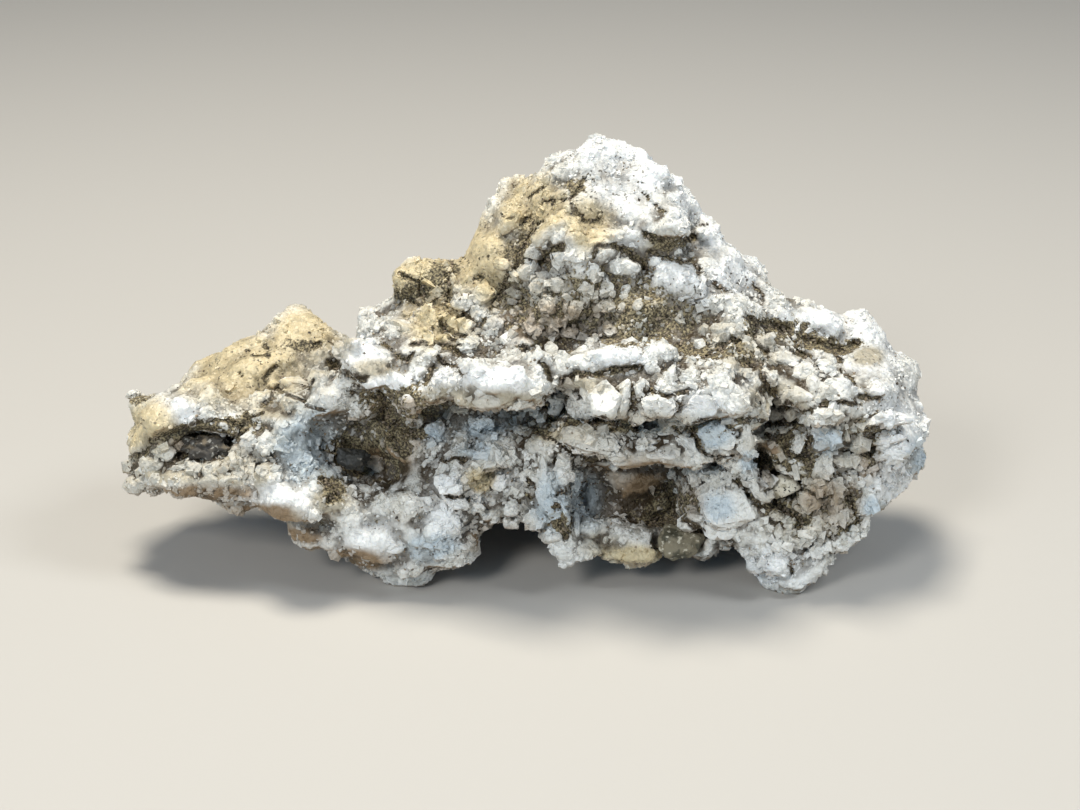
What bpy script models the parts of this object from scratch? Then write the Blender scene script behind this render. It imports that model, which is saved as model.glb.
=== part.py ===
"""A hand-sized lump of gypsum crust: one knobbly white mass that stands on three low feet.

A plated ledge overhangs its front, a thin arm reaches out to the left, a sandy hollow lies under
the summit, and the crust has grown round four small stones, each sitting in its own socket.

Frame: metres, +Z up, +X to the right along the lump, -Y towards its ledged front.
The origin is on the surface it stands on, under the middle of its box.
"""

import math
from typing import NamedTuple

import bmesh
import bpy
import numpy as np
from mathutils import Euler, Matrix, Vector

MM = 0.001

# Driving dimensions, in millimetres unless the name says otherwise.
BOX_MIDDLE = (-0.37, 0.87)  # the middle of the box, in the frame that the lumps below are placed in
STONE_GAP = 0.3
COBBLE_SIZE = 3.6
COBBLE_DEPTH = 1.7
KNOB_SIZE = 1.8
KNOB_DEPTH = 0.45
TABLE_SIDE = (80.0, 60.0, 6.0)  # the block below z = 0 that trims the feet flat

# How finely the skin is worked.
LUMP_VOXEL = 0.5
HOLLOW_VOXEL = 0.3
SKIN_VOXEL = 0.42
SOFTEN_ROUNDS = 1
KEPT_FACES = 0.08

# The small crystals that stud the whole crust. Widths and thicknesses are shares of the half-length.
CRYSTAL_COUNT = 800
CRYSTAL_SEED = 4
CRYSTAL_LENGTH = (1.0, 2.3)
CRYSTAL_WIDTH = (0.6, 0.9)
CRYSTAL_THICKNESS = (0.5, 0.9)
CRYSTAL_REACH = 0.8  # how far out a crystal sits, as a share of the half-size of its swelling
PLATE_TOP = 0.86  # how much narrower a plate's top is than its base

STONE_UNEVENNESS = (0.86, 1.0)
GYPSUM_COLOUR = (0.78, 0.74, 0.68)
GYPSUM_ROUGHNESS = 0.62


class Lump(NamedTuple):
    """One rounded swelling or hollow: its middle, its half-sizes and its turns in degrees.

    roll lowers its right end, pitch lowers its front, yaw turns it about the vertical.
    """

    x: float
    y: float
    z: float
    rx: float
    ry: float
    rz: float
    roll: float = 0.0
    pitch: float = 0.0
    yaw: float = 0.0


class Plate(NamedTuple):
    """One flat six-sided crystal: its middle, half its length and width, its thickness, its turns."""

    x: float
    y: float
    z: float
    rx: float
    ry: float
    thick: float
    roll: float = 0.0
    pitch: float = 0.0
    yaw: float = 0.0


class Stone(NamedTuple):
    """One stone that the crust holds: its name, its shape and its look."""

    name: str
    shape: Lump
    colour: tuple[float, float, float]
    roughness: float
    seed: int


SUMMIT = (
    Lump(5.5, 5.0, 26.0, 6.5, 6.0, 6.0),
    Lump(7.0, 4.0, 29.9, 2.2, 3.0, 1.6),
    Lump(4.8, 4.5, 29.0, 3.0, 3.5, 1.9, roll=-8),
    Lump(1.6, 4.5, 28.5, 2.6, 3.5, 1.9, roll=-30),
    Lump(8.8, 4.0, 28.5, 2.8, 3.2, 2.3, roll=25),
    Lump(10.9, 4.5, 27.3, 1.9, 2.8, 2.5),
    Lump(-1.1, 5.3, 25.9, 2.7, 3.5, 2.7, roll=-40),
    Lump(8.8, 0.5, 27.2, 3.6, 3.0, 2.6),
    Lump(2.7, -0.5, 26.4, 2.8, 2.6, 1.7),
    Lump(4.5, -0.4, 22.0, 5.6, 3.0, 3.4),
    Lump(5.2, -1.0, 26.0, 2.2, 2.2, 1.4),
    Lump(0.0, 0.5, 23.5, 1.7, 2.0, 2.4, roll=20),
    Lump(-2.9, 3.0, 22.8, 2.4, 3.8, 4.9, roll=33),
)

NUB = (
    Lump(-9.4, 3.0, 21.8, 1.7, 1.7, 1.3, roll=-10),
    Lump(-7.4, 3.0, 22.0, 2.2, 2.2, 1.9),
    Lump(-5.6, 3.0, 19.5, 2.8, 3.0, 2.4),
)

TERRACE = (
    Lump(-7.3, 1.5, 17.7, 6.0, 5.0, 2.8),
    Lump(-11.6, 2.5, 17.9, 2.3, 3.0, 1.7, roll=-15),
    Lump(-0.8, -1.5, 19.4, 3.2, 3.0, 2.0),
)

SNOWY_LEDGE = (
    Lump(-5.8, -3.0, 17.0, 7.6, 4.5, 2.4, roll=8),
    Lump(-12.2, -5.5, 18.3, 1.9, 2.2, 1.3, roll=10),
    Lump(-10.2, -6.3, 17.4, 2.2, 2.0, 1.1, roll=32),
    Lump(-7.3, -6.3, 16.6, 2.6, 2.6, 1.3),
    Lump(-4.6, -7.5, 17.3, 2.4, 2.6, 1.4, roll=10),
    Lump(-1.9, -8.3, 18.0, 2.9, 3.0, 1.8, roll=-10),
    Lump(0.6, -8.6, 17.8, 1.7, 2.2, 1.5, roll=-15),
)

PLATED_LEDGE = (
    Lump(9.5, -5.0, 16.6, 8.4, 4.5, 2.9, roll=8),
    Lump(10.6, -7.2, 19.4, 2.8, 2.4, 1.3),
    Lump(13.3, -6.5, 18.6, 2.6, 2.6, 1.6),
    Lump(5.7, -7.3, 12.9, 3.8, 2.6, 1.2, roll=14),
    Lump(10.0, -7.8, 12.4, 3.8, 2.4, 1.2, roll=8),
)

RIGHT_SLOPE = (
    Lump(12.9, 4.0, 22.0, 4.0, 5.0, 3.7, roll=38),
    Lump(15.6, 4.0, 19.2, 4.3, 5.5, 3.9, roll=38),
    Lump(18.7, 4.0, 16.4, 4.8, 6.0, 3.9, roll=32),
    Lump(21.8, 3.5, 14.8, 4.4, 6.0, 3.8, roll=20),
    Lump(25.2, 3.0, 13.9, 3.7, 6.0, 4.0, roll=25),
    Lump(27.3, 2.5, 11.6, 2.8, 5.5, 4.2, roll=28),
    Lump(29.0, 1.5, 9.6, 2.1, 4.5, 3.2, roll=12),
    Lump(25.9, 4.0, 17.7, 1.5, 2.0, 1.4),
    Lump(21.6, 3.5, 18.3, 2.0, 2.5, 1.2, roll=10),
    Lump(12.0, 0.0, 22.2, 3.0, 3.0, 2.4, roll=10),
    Lump(9.9, -0.5, 22.1, 2.0, 2.2, 1.6),
    Lump(8.0, -1.6, 21.2, 3.0, 2.6, 1.8),
    Lump(11.0, -1.6, 20.0, 3.2, 3.0, 2.4),
    Lump(15.0, -1.5, 20.0, 2.8, 3.0, 2.4),
    Lump(16.8, -3.8, 18.6, 1.4, 1.8, 1.1, roll=20),
    Lump(18.9, -5.0, 17.0, 3.2, 3.0, 1.8, roll=28),
    Lump(21.9, -5.5, 15.9, 3.2, 3.0, 1.9, roll=12),
    Lump(25.0, -2.5, 14.0, 3.2, 3.4, 2.8),
    Lump(27.0, -2.5, 11.2, 3.0, 3.2, 3.0),
)

RIGHT_FACE = (
    Lump(21.0, -2.5, 10.3, 6.2, 4.4, 4.6),
    Lump(24.0, -2.5, 8.0, 4.0, 4.6, 3.6),
    Lump(21.0, -4.0, 5.8, 4.6, 4.4, 3.6),
    Lump(18.4, -5.5, 4.2, 3.4, 3.4, 2.8, roll=15),
    Lump(26.0, -1.5, 7.0, 2.4, 4.0, 2.4, roll=-40),
    Lump(24.0, -4.0, 5.0, 2.1, 3.2, 2.2, roll=-45),
    Lump(18.2, -5.5, 9.9, 1.8, 2.0, 1.8),
    Lump(22.2, -5.5, 12.4, 2.2, 2.2, 1.4),
)

RIGHT_FOOT = (
    Lump(20.2, -5.8, 1.6, 2.6, 2.7, 2.8),
    Lump(18.4, -5.6, 2.6, 2.2, 2.4, 2.0, roll=18),
    Lump(21.6, -5.6, 2.4, 1.8, 2.2, 2.2, roll=-10),
)

MIDDLE = (
    Lump(7.2, 2.0, 11.8, 13.0, 7.5, 6.5, roll=6),
    Lump(8.8, 2.5, 5.7, 7.4, 4.5, 4.6),
    Lump(7.2, 1.8, 4.2, 10.0, 5.0, 3.0),
    Lump(1.3, -4.5, 10.4, 2.8, 3.0, 2.6),
    Lump(1.6, -5.2, 7.4, 2.2, 3.2, 2.6, roll=-12),
    Lump(2.4, -5.7, 4.9, 1.9, 2.8, 2.2, roll=-12),
    Lump(3.1, -6.1, 3.4, 1.4, 2.2, 1.2),
    Lump(6.0, -4.6, 3.2, 2.8, 2.8, 1.3),
    Lump(8.9, -4.8, 3.2, 2.8, 2.8, 1.2),
    Lump(12.8, -4.2, 3.2, 2.4, 3.0, 1.5, roll=10),
    Lump(13.7, -5.0, 6.8, 2.4, 3.2, 3.4, roll=-15),
)

LEFT_BODY = (
    Lump(-7.3, 2.0, 11.8, 8.0, 6.5, 6.0),
    Lump(-8.0, 1.0, 7.6, 8.4, 5.0, 4.5),
    Lump(-4.1, -3.8, 6.6, 4.2, 3.4, 2.6),
    Lump(-1.0, -3.2, 8.3, 3.8, 3.2, 3.4),
    Lump(-10.9, -4.5, 5.7, 3.4, 3.4, 2.4, roll=20),
    Lump(-7.3, -5.5, 4.9, 3.2, 3.4, 2.4, roll=20),
    Lump(-9.4, -5.8, 3.6, 2.8, 2.8, 2.2, roll=15),
    Lump(-5.9, -5.5, 3.6, 2.4, 2.8, 1.6, roll=-20),
    Lump(-16.3, -6.0, 8.3, 3.8, 3.0, 1.8, roll=24),
    Lump(-20.1, -4.6, 8.2, 3.0, 3.0, 1.5, roll=15),
    Lump(-15.7, -4.0, 4.3, 3.4, 3.6, 1.9, roll=26),
    Lump(-13.4, -4.4, 3.4, 2.8, 3.2, 1.7, roll=24),
    Lump(-18.4, -5.6, 7.4, 2.0, 2.0, 1.4, roll=30),
    Lump(-13.6, -6.4, 6.2, 2.3, 2.2, 1.6, roll=20),
    Lump(-10.4, -6.6, 7.6, 1.8, 2.0, 1.4, roll=-10),
    Lump(-7.6, -6.2, 8.0, 1.7, 2.0, 1.3, roll=10),
    Lump(-5.4, -5.6, 9.6, 1.9, 2.2, 1.5),
    Lump(-2.4, -5.4, 10.8, 2.0, 2.2, 1.5, roll=-10),
    Lump(-8.8, -4.0, 11.2, 2.4, 2.4, 1.8, roll=15),
)

LEFT_FOOT = (
    Lump(-10.0, -4.8, 1.4, 2.4, 2.4, 2.7),
    Lump(-12.0, -4.4, 2.6, 2.2, 2.4, 1.8),
)

LEFT_ARM = (
    Lump(-22.8, 1.5, 9.2, 8.4, 6.0, 3.8, roll=-6),
    Lump(-17.2, 2.0, 9.6, 6.0, 6.0, 4.8, roll=-5),
    Lump(-27.5, 0.5, 9.0, 3.4, 5.0, 3.2),
    Lump(-29.3, 0.0, 7.4, 1.9, 3.5, 1.8),
    Lump(-28.6, 1.0, 10.9, 2.4, 4.2, 2.0),
    Lump(-26.4, 2.6, 12.4, 3.2, 3.8, 1.6, roll=-14),
    Lump(-23.8, 4.0, 13.2, 4.4, 4.5, 1.9, roll=-22),
    Lump(-20.4, 5.5, 14.6, 3.4, 3.8, 2.1, roll=-28),
    Lump(-18.4, 7.4, 15.9, 1.7, 2.2, 2.0),
    Lump(-16.2, 6.0, 14.9, 2.3, 3.0, 1.8, roll=35),
    Lump(-27.8, -3.4, 12.3, 1.9, 2.1, 1.5),
    Lump(-25.0, -2.6, 12.8, 3.0, 2.2, 1.2, roll=5),
    Lump(-26.6, -4.2, 8.8, 3.4, 2.4, 1.4),
    Lump(-23.4, -4.6, 9.2, 2.8, 2.4, 1.7),
    Lump(-18.6, -4.2, 11.0, 2.8, 2.6, 2.0),
    Lump(-20.6, -1.8, 13.0, 2.0, 2.2, 1.2),
    Lump(-17.4, -3.2, 13.4, 2.2, 2.4, 1.4),
    Lump(-14.7, -3.0, 14.6, 2.4, 2.4, 1.7),
    Lump(-30.7, 2.0, 12.2, 0.9, 1.2, 0.9),
    Lump(-22.6, -1.0, 6.8, 5.4, 4.4, 1.6, roll=8),
)

BACK = (
    Lump(3.0, 7.0, 17.0, 8.0, 5.5, 7.0),
    Lump(13.5, 7.0, 11.0, 8.5, 5.5, 6.5, roll=20),
    Lump(-7.0, 6.5, 9.0, 8.0, 5.0, 5.5),
    Lump(4.0, 8.0, 7.2, 9.5, 5.0, 5.2),
    Lump(7.5, 9.5, 22.5, 3.6, 3.0, 3.2),
    Lump(-2.5, 10.5, 11.5, 3.4, 2.6, 2.8),
    Lump(17.5, 11.0, 8.5, 3.6, 2.8, 3.2),
    Lump(22.0, 6.5, 6.8, 4.5, 4.0, 4.0),
)

BACK_FEET = (
    Lump(-4.5, 8.6, 1.6, 2.9, 2.8, 3.0),
    Lump(12.5, 9.0, 1.6, 3.1, 3.0, 3.0),
)

SWELLINGS = (
    SUMMIT + NUB + TERRACE + SNOWY_LEDGE + PLATED_LEDGE + RIGHT_SLOPE + RIGHT_FACE + RIGHT_FOOT
    + MIDDLE + LEFT_BODY + LEFT_FOOT + LEFT_ARM + BACK + BACK_FEET
)

LEDGE_PLATES = (
    Plate(3.4, -7.5, 19.0, 2.4, 2.0, 1.5, roll=-6, pitch=25),
    Plate(6.8, -7.4, 19.4, 2.5, 2.0, 1.6, roll=4, pitch=22, yaw=20),
    Plate(5.6, -9.6, 17.3, 2.8, 2.0, 2.6, roll=5, pitch=30),
    Plate(9.0, -9.9, 17.4, 2.6, 2.0, 2.8, roll=-4, pitch=25, yaw=25),
    Plate(12.2, -9.4, 17.8, 2.9, 2.0, 3.0, roll=10, pitch=25),
    Plate(14.9, -8.8, 16.8, 2.4, 2.0, 2.4, roll=22, pitch=20, yaw=15),
    Plate(16.6, -7.9, 15.6, 1.6, 1.6, 1.5, roll=24, pitch=15),
    Plate(14.7, -8.3, 13.2, 2.2, 1.8, 2.2, roll=12, pitch=30, yaw=10),
)

FACE_PLATES = (
    Plate(16.0, -7.4, 6.6, 2.5, 2.4, 2.2, roll=-12, pitch=70),
    Plate(15.4, -6.9, 10.2, 2.6, 1.4, 1.4, roll=55, pitch=70),
    Plate(17.4, -6.6, 12.0, 2.2, 1.2, 1.3, roll=40, pitch=65),
    Plate(-3.6, -0.6, 20.8, 1.9, 1.9, 2.4, roll=12, pitch=20, yaw=30),
    Plate(-1.9, 1.4, 23.6, 1.8, 3.2, 1.6, roll=-38, pitch=10),
    Plate(18.9, -6.6, 6.6, 1.8, 1.5, 1.8, roll=20, pitch=60),
    Plate(22.6, -6.8, 8.6, 1.8, 1.5, 1.8, roll=-20, pitch=60, yaw=20),
)

BACK_PLATES = (
    Plate(0.5, 12.0, 17.0, 2.6, 2.0, 2.2, roll=15, pitch=-60),
    Plate(9.0, 12.0, 14.5, 2.8, 2.2, 2.2, roll=-12, pitch=-60, yaw=20),
    Plate(15.0, 11.5, 13.5, 2.4, 2.0, 2.0, roll=25, pitch=-55),
    Plate(-9.5, 10.5, 10.0, 2.6, 2.0, 2.0, roll=-10, pitch=-50, yaw=-20),
)

PLATES = LEDGE_PLATES + FACE_PLATES + BACK_PLATES

HOLLOWS = (
    Lump(5.0, -6.9, 23.8, 6.4, 4.2, 2.0, roll=8),
    Lump(8.8, -7.6, 8.0, 3.9, 4.6, 3.0),
    Lump(-13.4, -7.2, 10.8, 2.4, 3.2, 2.0, roll=15),
    Lump(-25.2, -6.0, 11.5, 3.4, 2.6, 1.2, roll=-8),
    Lump(20.6, -4.0, 18.8, 5.0, 2.8, 0.8, roll=18),
    Lump(0.8, -2.4, 24.9, 0.7, 2.4, 3.2, roll=28),
    Lump(17.6, -7.2, 10.4, 0.7, 2.4, 2.4, roll=-15),
    Lump(6.0, -7.6, 14.6, 6.0, 1.6, 0.6, roll=8),
    Lump(-5.2, -6.8, 13.6, 5.4, 2.2, 1.0, roll=6),
    Lump(-2.0, 13.5, 15.0, 4.0, 3.0, 2.4, roll=20),
    Lump(10.0, 14.5, 9.0, 5.0, 3.6, 2.6, roll=-15),
)

STONES = (
    Stone("dark_stone_left", Lump(-24.6, -3.7, 10.6, 2.5, 1.6, 1.2, roll=-6), (0.05, 0.052, 0.05), 0.7, 3),
    Stone("dark_stone_middle", Lump(-13.4, -4.4, 9.9, 1.5, 1.4, 1.2, roll=15), (0.07, 0.065, 0.06), 0.7, 5),
    Stone("round_pebble_low", Lump(11.4, -6.0, 3.9, 2.3, 2.1, 1.6, roll=-8), (0.12, 0.12, 0.09), 0.6, 8),
    Stone("speckled_pebble", Lump(19.1, -6.3, 8.6, 1.5, 1.3, 1.2, roll=10), (0.3, 0.27, 0.22), 0.65, 11),
)


def placing(item: Lump | Plate, half_sizes: tuple[float, float, float]) -> Matrix:
    """The matrix that sizes, turns and places a unit shape as this lump or plate."""
    angles = (math.radians(item.pitch), math.radians(item.roll), math.radians(item.yaw))
    turn = Euler(angles, "XYZ").to_matrix().to_4x4()
    size = Matrix.Diagonal((*(half * MM for half in half_sizes), 1.0))
    return Matrix.Translation(Vector((item.x, item.y, item.z)) * MM) @ turn @ size


def scattered_crystals(lumps: tuple[Lump, ...]) -> tuple[Plate, ...]:
    """Small flat crystals that stud the crust, each on the skin of a swelling at a chance angle."""
    chance = np.random.default_rng(CRYSTAL_SEED)
    skins = np.array([lump.rx * lump.rz + lump.rx * lump.ry for lump in lumps])
    picked = chance.choice(len(lumps), CRYSTAL_COUNT, p=skins / skins.sum())
    crystals = []
    for index in picked:
        lump = lumps[index]
        outward = Vector(chance.normal(size=3)).normalized() * CRYSTAL_REACH
        spot = placing(lump, (lump.rx, lump.ry, lump.rz)) @ outward / MM
        length = chance.uniform(*CRYSTAL_LENGTH)
        width = length * chance.uniform(*CRYSTAL_WIDTH)
        thick = length * chance.uniform(*CRYSTAL_THICKNESS)
        crystals.append(Plate(*spot, length, width, thick, *chance.uniform(-90.0, 90.0, 3)))
    return tuple(crystals)


def object_of(name: str, shape: bmesh.types.BMesh, home: bpy.types.Collection) -> bpy.types.Object:
    """Turns a finished bmesh into a named object in its collection."""
    mesh = bpy.data.meshes.new(name)
    shape.to_mesh(mesh)
    shape.free()
    item = bpy.data.objects.new(name, mesh)
    home.objects.link(item)
    return item


def add_lumps(shape: bmesh.types.BMesh, lumps: tuple[Lump, ...]) -> None:
    """Adds each lump as a squashed and turned ball."""
    for lump in lumps:
        matrix = placing(lump, (lump.rx, lump.ry, lump.rz))
        bmesh.ops.create_icosphere(shape, subdivisions=3, radius=1.0, matrix=matrix)


def add_plates(shape: bmesh.types.BMesh, plates: tuple[Plate, ...]) -> None:
    """Adds each plate as a six-sided block, a little narrower on top."""
    for plate in plates:
        matrix = placing(plate, (plate.rx, plate.ry, plate.thick))
        bmesh.ops.create_cone(
            shape, cap_ends=True, segments=6, radius1=1.0, radius2=PLATE_TOP, depth=1.0, matrix=matrix
        )


def stone_shape(stone: Stone, grow: float = 0.0) -> bmesh.types.BMesh:
    """A stone as a faceted, slightly uneven ball; grow makes the same stone larger all round."""
    chance = np.random.default_rng(stone.seed)
    shape = bmesh.new()
    bmesh.ops.create_icosphere(shape, subdivisions=2, radius=1.0)
    for corner in shape.verts:
        corner.co *= chance.uniform(*STONE_UNEVENNESS)
    bmesh.ops.delete(shape, geom=list(shape.edges) + list(shape.faces), context="EDGES_FACES")
    hull = bmesh.ops.convex_hull(shape, input=list(shape.verts))
    inside = [corner for corner in hull["geom_interior"] if isinstance(corner, bmesh.types.BMVert)]
    bmesh.ops.delete(shape, geom=inside, context="VERTS")
    lump = stone.shape
    larger = placing(lump, (lump.rx + grow, lump.ry + grow, lump.rz + grow))
    bmesh.ops.transform(shape, matrix=larger, verts=shape.verts)
    bmesh.ops.recalc_face_normals(shape, faces=shape.faces)
    return shape


def coat(item: bpy.types.Object, colour: tuple[float, float, float], roughness: float) -> None:
    """Gives an object its own plain material."""
    material = bpy.data.materials.new(item.name)
    material.use_nodes = True
    shader = material.node_tree.nodes["Principled BSDF"]
    shader.inputs["Base Color"].default_value = (*colour, 1.0)
    shader.inputs["Roughness"].default_value = roughness
    shader.inputs["Metallic"].default_value = 0.0
    item.data.materials.append(material)


def weld_skin(item: bpy.types.Object, name: str, voxel: float) -> None:
    """Welds overlapping shapes into one even skin."""
    remesh = item.modifiers.new(name, "REMESH")
    remesh.mode = "VOXEL"
    remesh.voxel_size = voxel * MM


def roughen(item: bpy.types.Object, name: str, size: float, depth: float) -> None:
    """Presses a rounded cell pattern into the skin, so that it stands in cobbles of this size."""
    cells = bpy.data.textures.new(name, "VORONOI")
    cells.noise_scale = size * MM
    bumps = item.modifiers.new(name, "DISPLACE")
    bumps.texture = cells
    bumps.texture_coords = "LOCAL"
    bumps.strength = -depth * MM
    bumps.mid_level = 0.4


def cut_away(item: bpy.types.Object, cutter: bpy.types.Object) -> None:
    """Cuts one object's shape out of another."""
    cutter.hide_render = True
    cutter.display_type = "WIRE"
    cut = item.modifiers.new(cutter.name, "BOOLEAN")
    cut.operation = "DIFFERENCE"
    cut.object = cutter
    cut.solver = "EXACT"


def new_collection(name: str) -> bpy.types.Collection:
    """A new collection in the scene."""
    collection = bpy.data.collections.new(name)
    bpy.context.scene.collection.children.link(collection)
    return collection


def make_mass(parts: bpy.types.Collection, tools: bpy.types.Collection) -> bpy.types.Object:
    """The crust itself: swellings and plates welded into one body, hollowed, cobbled and trimmed flat."""
    body = bmesh.new()
    add_lumps(body, SWELLINGS)
    add_plates(body, PLATES + scattered_crystals(SWELLINGS))
    mass = object_of("gypsum_mass", body, parts)
    weld_skin(mass, "weld lumps", LUMP_VOXEL)

    pits = bmesh.new()
    add_lumps(pits, HOLLOWS)
    hollows = object_of("hollows", pits, tools)
    weld_skin(hollows, "weld hollows", HOLLOW_VOXEL)
    cut_away(mass, hollows)

    weld_skin(mass, "even skin", SKIN_VOXEL)
    soften = mass.modifiers.new("soften", "SMOOTH")
    soften.iterations = SOFTEN_ROUNDS
    roughen(mass, "cobbles", COBBLE_SIZE, COBBLE_DEPTH)
    roughen(mass, "knobs", KNOB_SIZE, KNOB_DEPTH)
    weld_skin(mass, "clean skin", SKIN_VOXEL)
    thin = mass.modifiers.new("fewer faces", "DECIMATE")
    thin.ratio = KEPT_FACES

    below = bmesh.new()
    size = Matrix.Diagonal((*(side * MM for side in TABLE_SIDE), 1.0))
    place = Matrix.Translation((0.0, 0.0, -0.5 * TABLE_SIDE[2] * MM))
    bmesh.ops.create_cube(below, size=1.0, matrix=place @ size)
    cut_away(mass, object_of("table_side", below, tools))
    coat(mass, GYPSUM_COLOUR, GYPSUM_ROUGHNESS)
    return mass


def add_stones(mass: bpy.types.Object, parts: bpy.types.Collection, tools: bpy.types.Collection) -> None:
    """The stones that the crust grew round, each with a socket that clears it by a small gap."""
    for stone in STONES:
        item = object_of(stone.name, stone_shape(stone), parts)
        coat(item, stone.colour, stone.roughness)
        cut_away(mass, object_of(f"{stone.name}_socket", stone_shape(stone, STONE_GAP), tools))


def build() -> None:
    """Builds the lump and its stones, and moves them so that the origin is under the box's middle."""
    for old in list(bpy.data.objects):
        bpy.data.objects.remove(old)
    parts = new_collection("gypsum_lump")
    tools = new_collection("cutters")
    add_stones(make_mass(parts, tools), parts, tools)
    origin = bpy.data.objects.new("middle_of_box", None)
    origin.location = (-BOX_MIDDLE[0] * MM, -BOX_MIDDLE[1] * MM, 0.0)
    for item in (*parts.objects, *tools.objects):
        item.parent = origin
    parts.objects.link(origin)


build()
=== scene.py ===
"""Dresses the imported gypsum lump: crust, grown crystals, sugary grains, dark sand and its four stones.

Sizes are in metres unless a name ends in _mm, _px or _deg. Picture places are pixels of the
1080 by 810 photograph, and each is cast through the photograph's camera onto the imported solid.
"""
import logging
import math
from collections.abc import Iterator
from dataclasses import dataclass, field, fields
from enum import Enum

import bmesh
import bpy
import numpy as np
from mathutils import Matrix, Vector
from mathutils.bvhtree import BVHTree


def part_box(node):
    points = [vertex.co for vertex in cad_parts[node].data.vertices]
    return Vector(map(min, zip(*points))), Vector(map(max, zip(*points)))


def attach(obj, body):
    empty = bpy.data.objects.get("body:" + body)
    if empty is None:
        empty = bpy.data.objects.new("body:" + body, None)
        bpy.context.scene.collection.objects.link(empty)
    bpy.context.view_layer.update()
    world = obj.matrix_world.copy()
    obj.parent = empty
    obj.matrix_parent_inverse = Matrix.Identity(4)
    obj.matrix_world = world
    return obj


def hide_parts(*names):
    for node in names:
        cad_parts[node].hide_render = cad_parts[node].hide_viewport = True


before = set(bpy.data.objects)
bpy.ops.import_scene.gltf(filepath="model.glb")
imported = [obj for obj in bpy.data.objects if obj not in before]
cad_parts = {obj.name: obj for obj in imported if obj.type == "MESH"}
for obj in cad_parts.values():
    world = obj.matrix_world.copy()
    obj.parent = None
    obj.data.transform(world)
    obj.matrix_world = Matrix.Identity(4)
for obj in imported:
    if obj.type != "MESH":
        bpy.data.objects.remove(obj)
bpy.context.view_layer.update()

MM = 0.001
LOG = logging.getLogger("gypsum")
Array = np.ndarray
Colour = tuple[float, float, float, float]
CAMERA_NEAR_M = 0.01


@dataclass(frozen=True)
class PhotoCamera:
    """The photograph's camera: how high it looks down from, how long its lens is, where it stands."""

    elevation_deg: float = 23.0
    lens_mm: float = 72.0
    sensor_mm: float = 36.0
    width_px: float = 1080.0
    height_px: float = 810.0
    distance_mm: float = 172.8
    raise_mm: float = 11.2
    shift_mm: float = 1.12

    @property
    def focal_px(self) -> float:
        """The focal length in picture pixels."""
        return self.lens_mm / self.sensor_mm * self.width_px

    @property
    def axes(self) -> tuple[Array, Array, Array]:
        """The camera's right, up and forward directions."""
        tilt = math.radians(self.elevation_deg)
        right = np.array([1.0, 0.0, 0.0])
        up = np.array([0.0, math.sin(tilt), math.cos(tilt)])
        forward = np.array([0.0, math.cos(tilt), -math.sin(tilt)])
        return right, up, forward

    @property
    def place(self) -> Array:
        """Where the camera stands, in metres."""
        right, up, forward = self.axes
        return (right * self.shift_mm + up * self.raise_mm - forward * self.distance_mm) * MM

    def ray(self, u_px: float, v_px: float) -> Array:
        """The direction from the camera through one picture pixel."""
        right, up, forward = self.axes
        aim = forward + right * (u_px - self.width_px / 2) / self.focal_px
        aim = aim + up * (self.height_px / 2 - v_px) / self.focal_px
        return aim / np.linalg.norm(aim)

    def pixel_size(self, point: Array) -> float:
        """How many metres one picture pixel covers at a point."""
        return float((point - self.place) @ self.axes[2]) / self.focal_px

    def build(self) -> bpy.types.Object:
        """Makes the scene's camera."""
        data = bpy.data.cameras.new("photo_camera")
        data.lens = self.lens_mm
        data.sensor_width = self.sensor_mm
        data.clip_start = CAMERA_NEAR_M
        right, up, forward = self.axes
        camera = bpy.data.objects.new("photo_camera", data)
        turn = Matrix((right, up, -forward)).transposed().to_4x4()
        camera.matrix_world = Matrix.Translation(Vector(self.place)) @ turn
        bpy.context.scene.collection.objects.link(camera)
        bpy.context.scene.camera = camera
        return camera


CAMERA = PhotoCamera()


def unit(rows: Array) -> Array:
    """Each row scaled to a length of one."""
    return rows / np.maximum(np.linalg.norm(rows, axis=-1, keepdims=True), 1e-12)


def hashed(cells: Array, seed: int) -> Array:
    """A steady chance number from 0 to 1 for each whole-number cell.

    Formula: the three cell numbers times three large primes, mixed by shifts and products.
    """
    grid = cells.astype(np.int64).astype(np.uint64)
    code = grid[..., 0] * np.uint64(73856093) ^ grid[..., 1] * np.uint64(19349663)
    code = code ^ grid[..., 2] * np.uint64(83492791) ^ np.uint64(seed * 2654435761 % 2**32)
    for _ in range(2):
        code = (code ^ (code >> np.uint64(31))) * np.uint64(0x7FB5D329728EA185)
    code = code ^ (code >> np.uint64(29))
    return (code & np.uint64(0xFFFFFF)).astype(float) / float(0xFFFFFF)


def corner_shares(part: Array) -> Iterator[tuple[Array, Array]]:
    """The eight corners of a cell, each with its share in a blend this part of the way across."""
    for corner in np.ndindex(2, 2, 2):
        step = np.array(corner)
        yield step, np.prod(np.where(step == 1, part, 1.0 - part), axis=1)


def soft_noise(points: Array, size: float, seed: int) -> Array:
    """Smooth noise from 0 to 1 with features of this size.

    Formula: chance numbers at the corners of a grid, blended by smoothstep weights on each axis.
    """
    scaled = points / size
    base = np.floor(scaled)
    part = scaled - base
    part = part * part * (3.0 - 2.0 * part)
    total = np.zeros(len(points))
    for step, share in corner_shares(part):
        total += share * hashed(base + step, seed)
    return total


def layered_noise(points: Array, size: float, seed: int, layers: int = 3) -> Array:
    """Smooth noise at several sizes, each half the last and half as strong."""
    total = np.zeros(len(points))
    weight_sum = 0.0
    for layer in range(layers):
        weight = 0.5**layer
        total += weight * soft_noise(points, size * weight, seed + layer)
        weight_sum += weight
    return total / weight_sum


@dataclass
class Cells:
    """What each point knows of the jittered seeds around it."""

    near: Array
    second: Array
    number: Array
    tilt: Array


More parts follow.
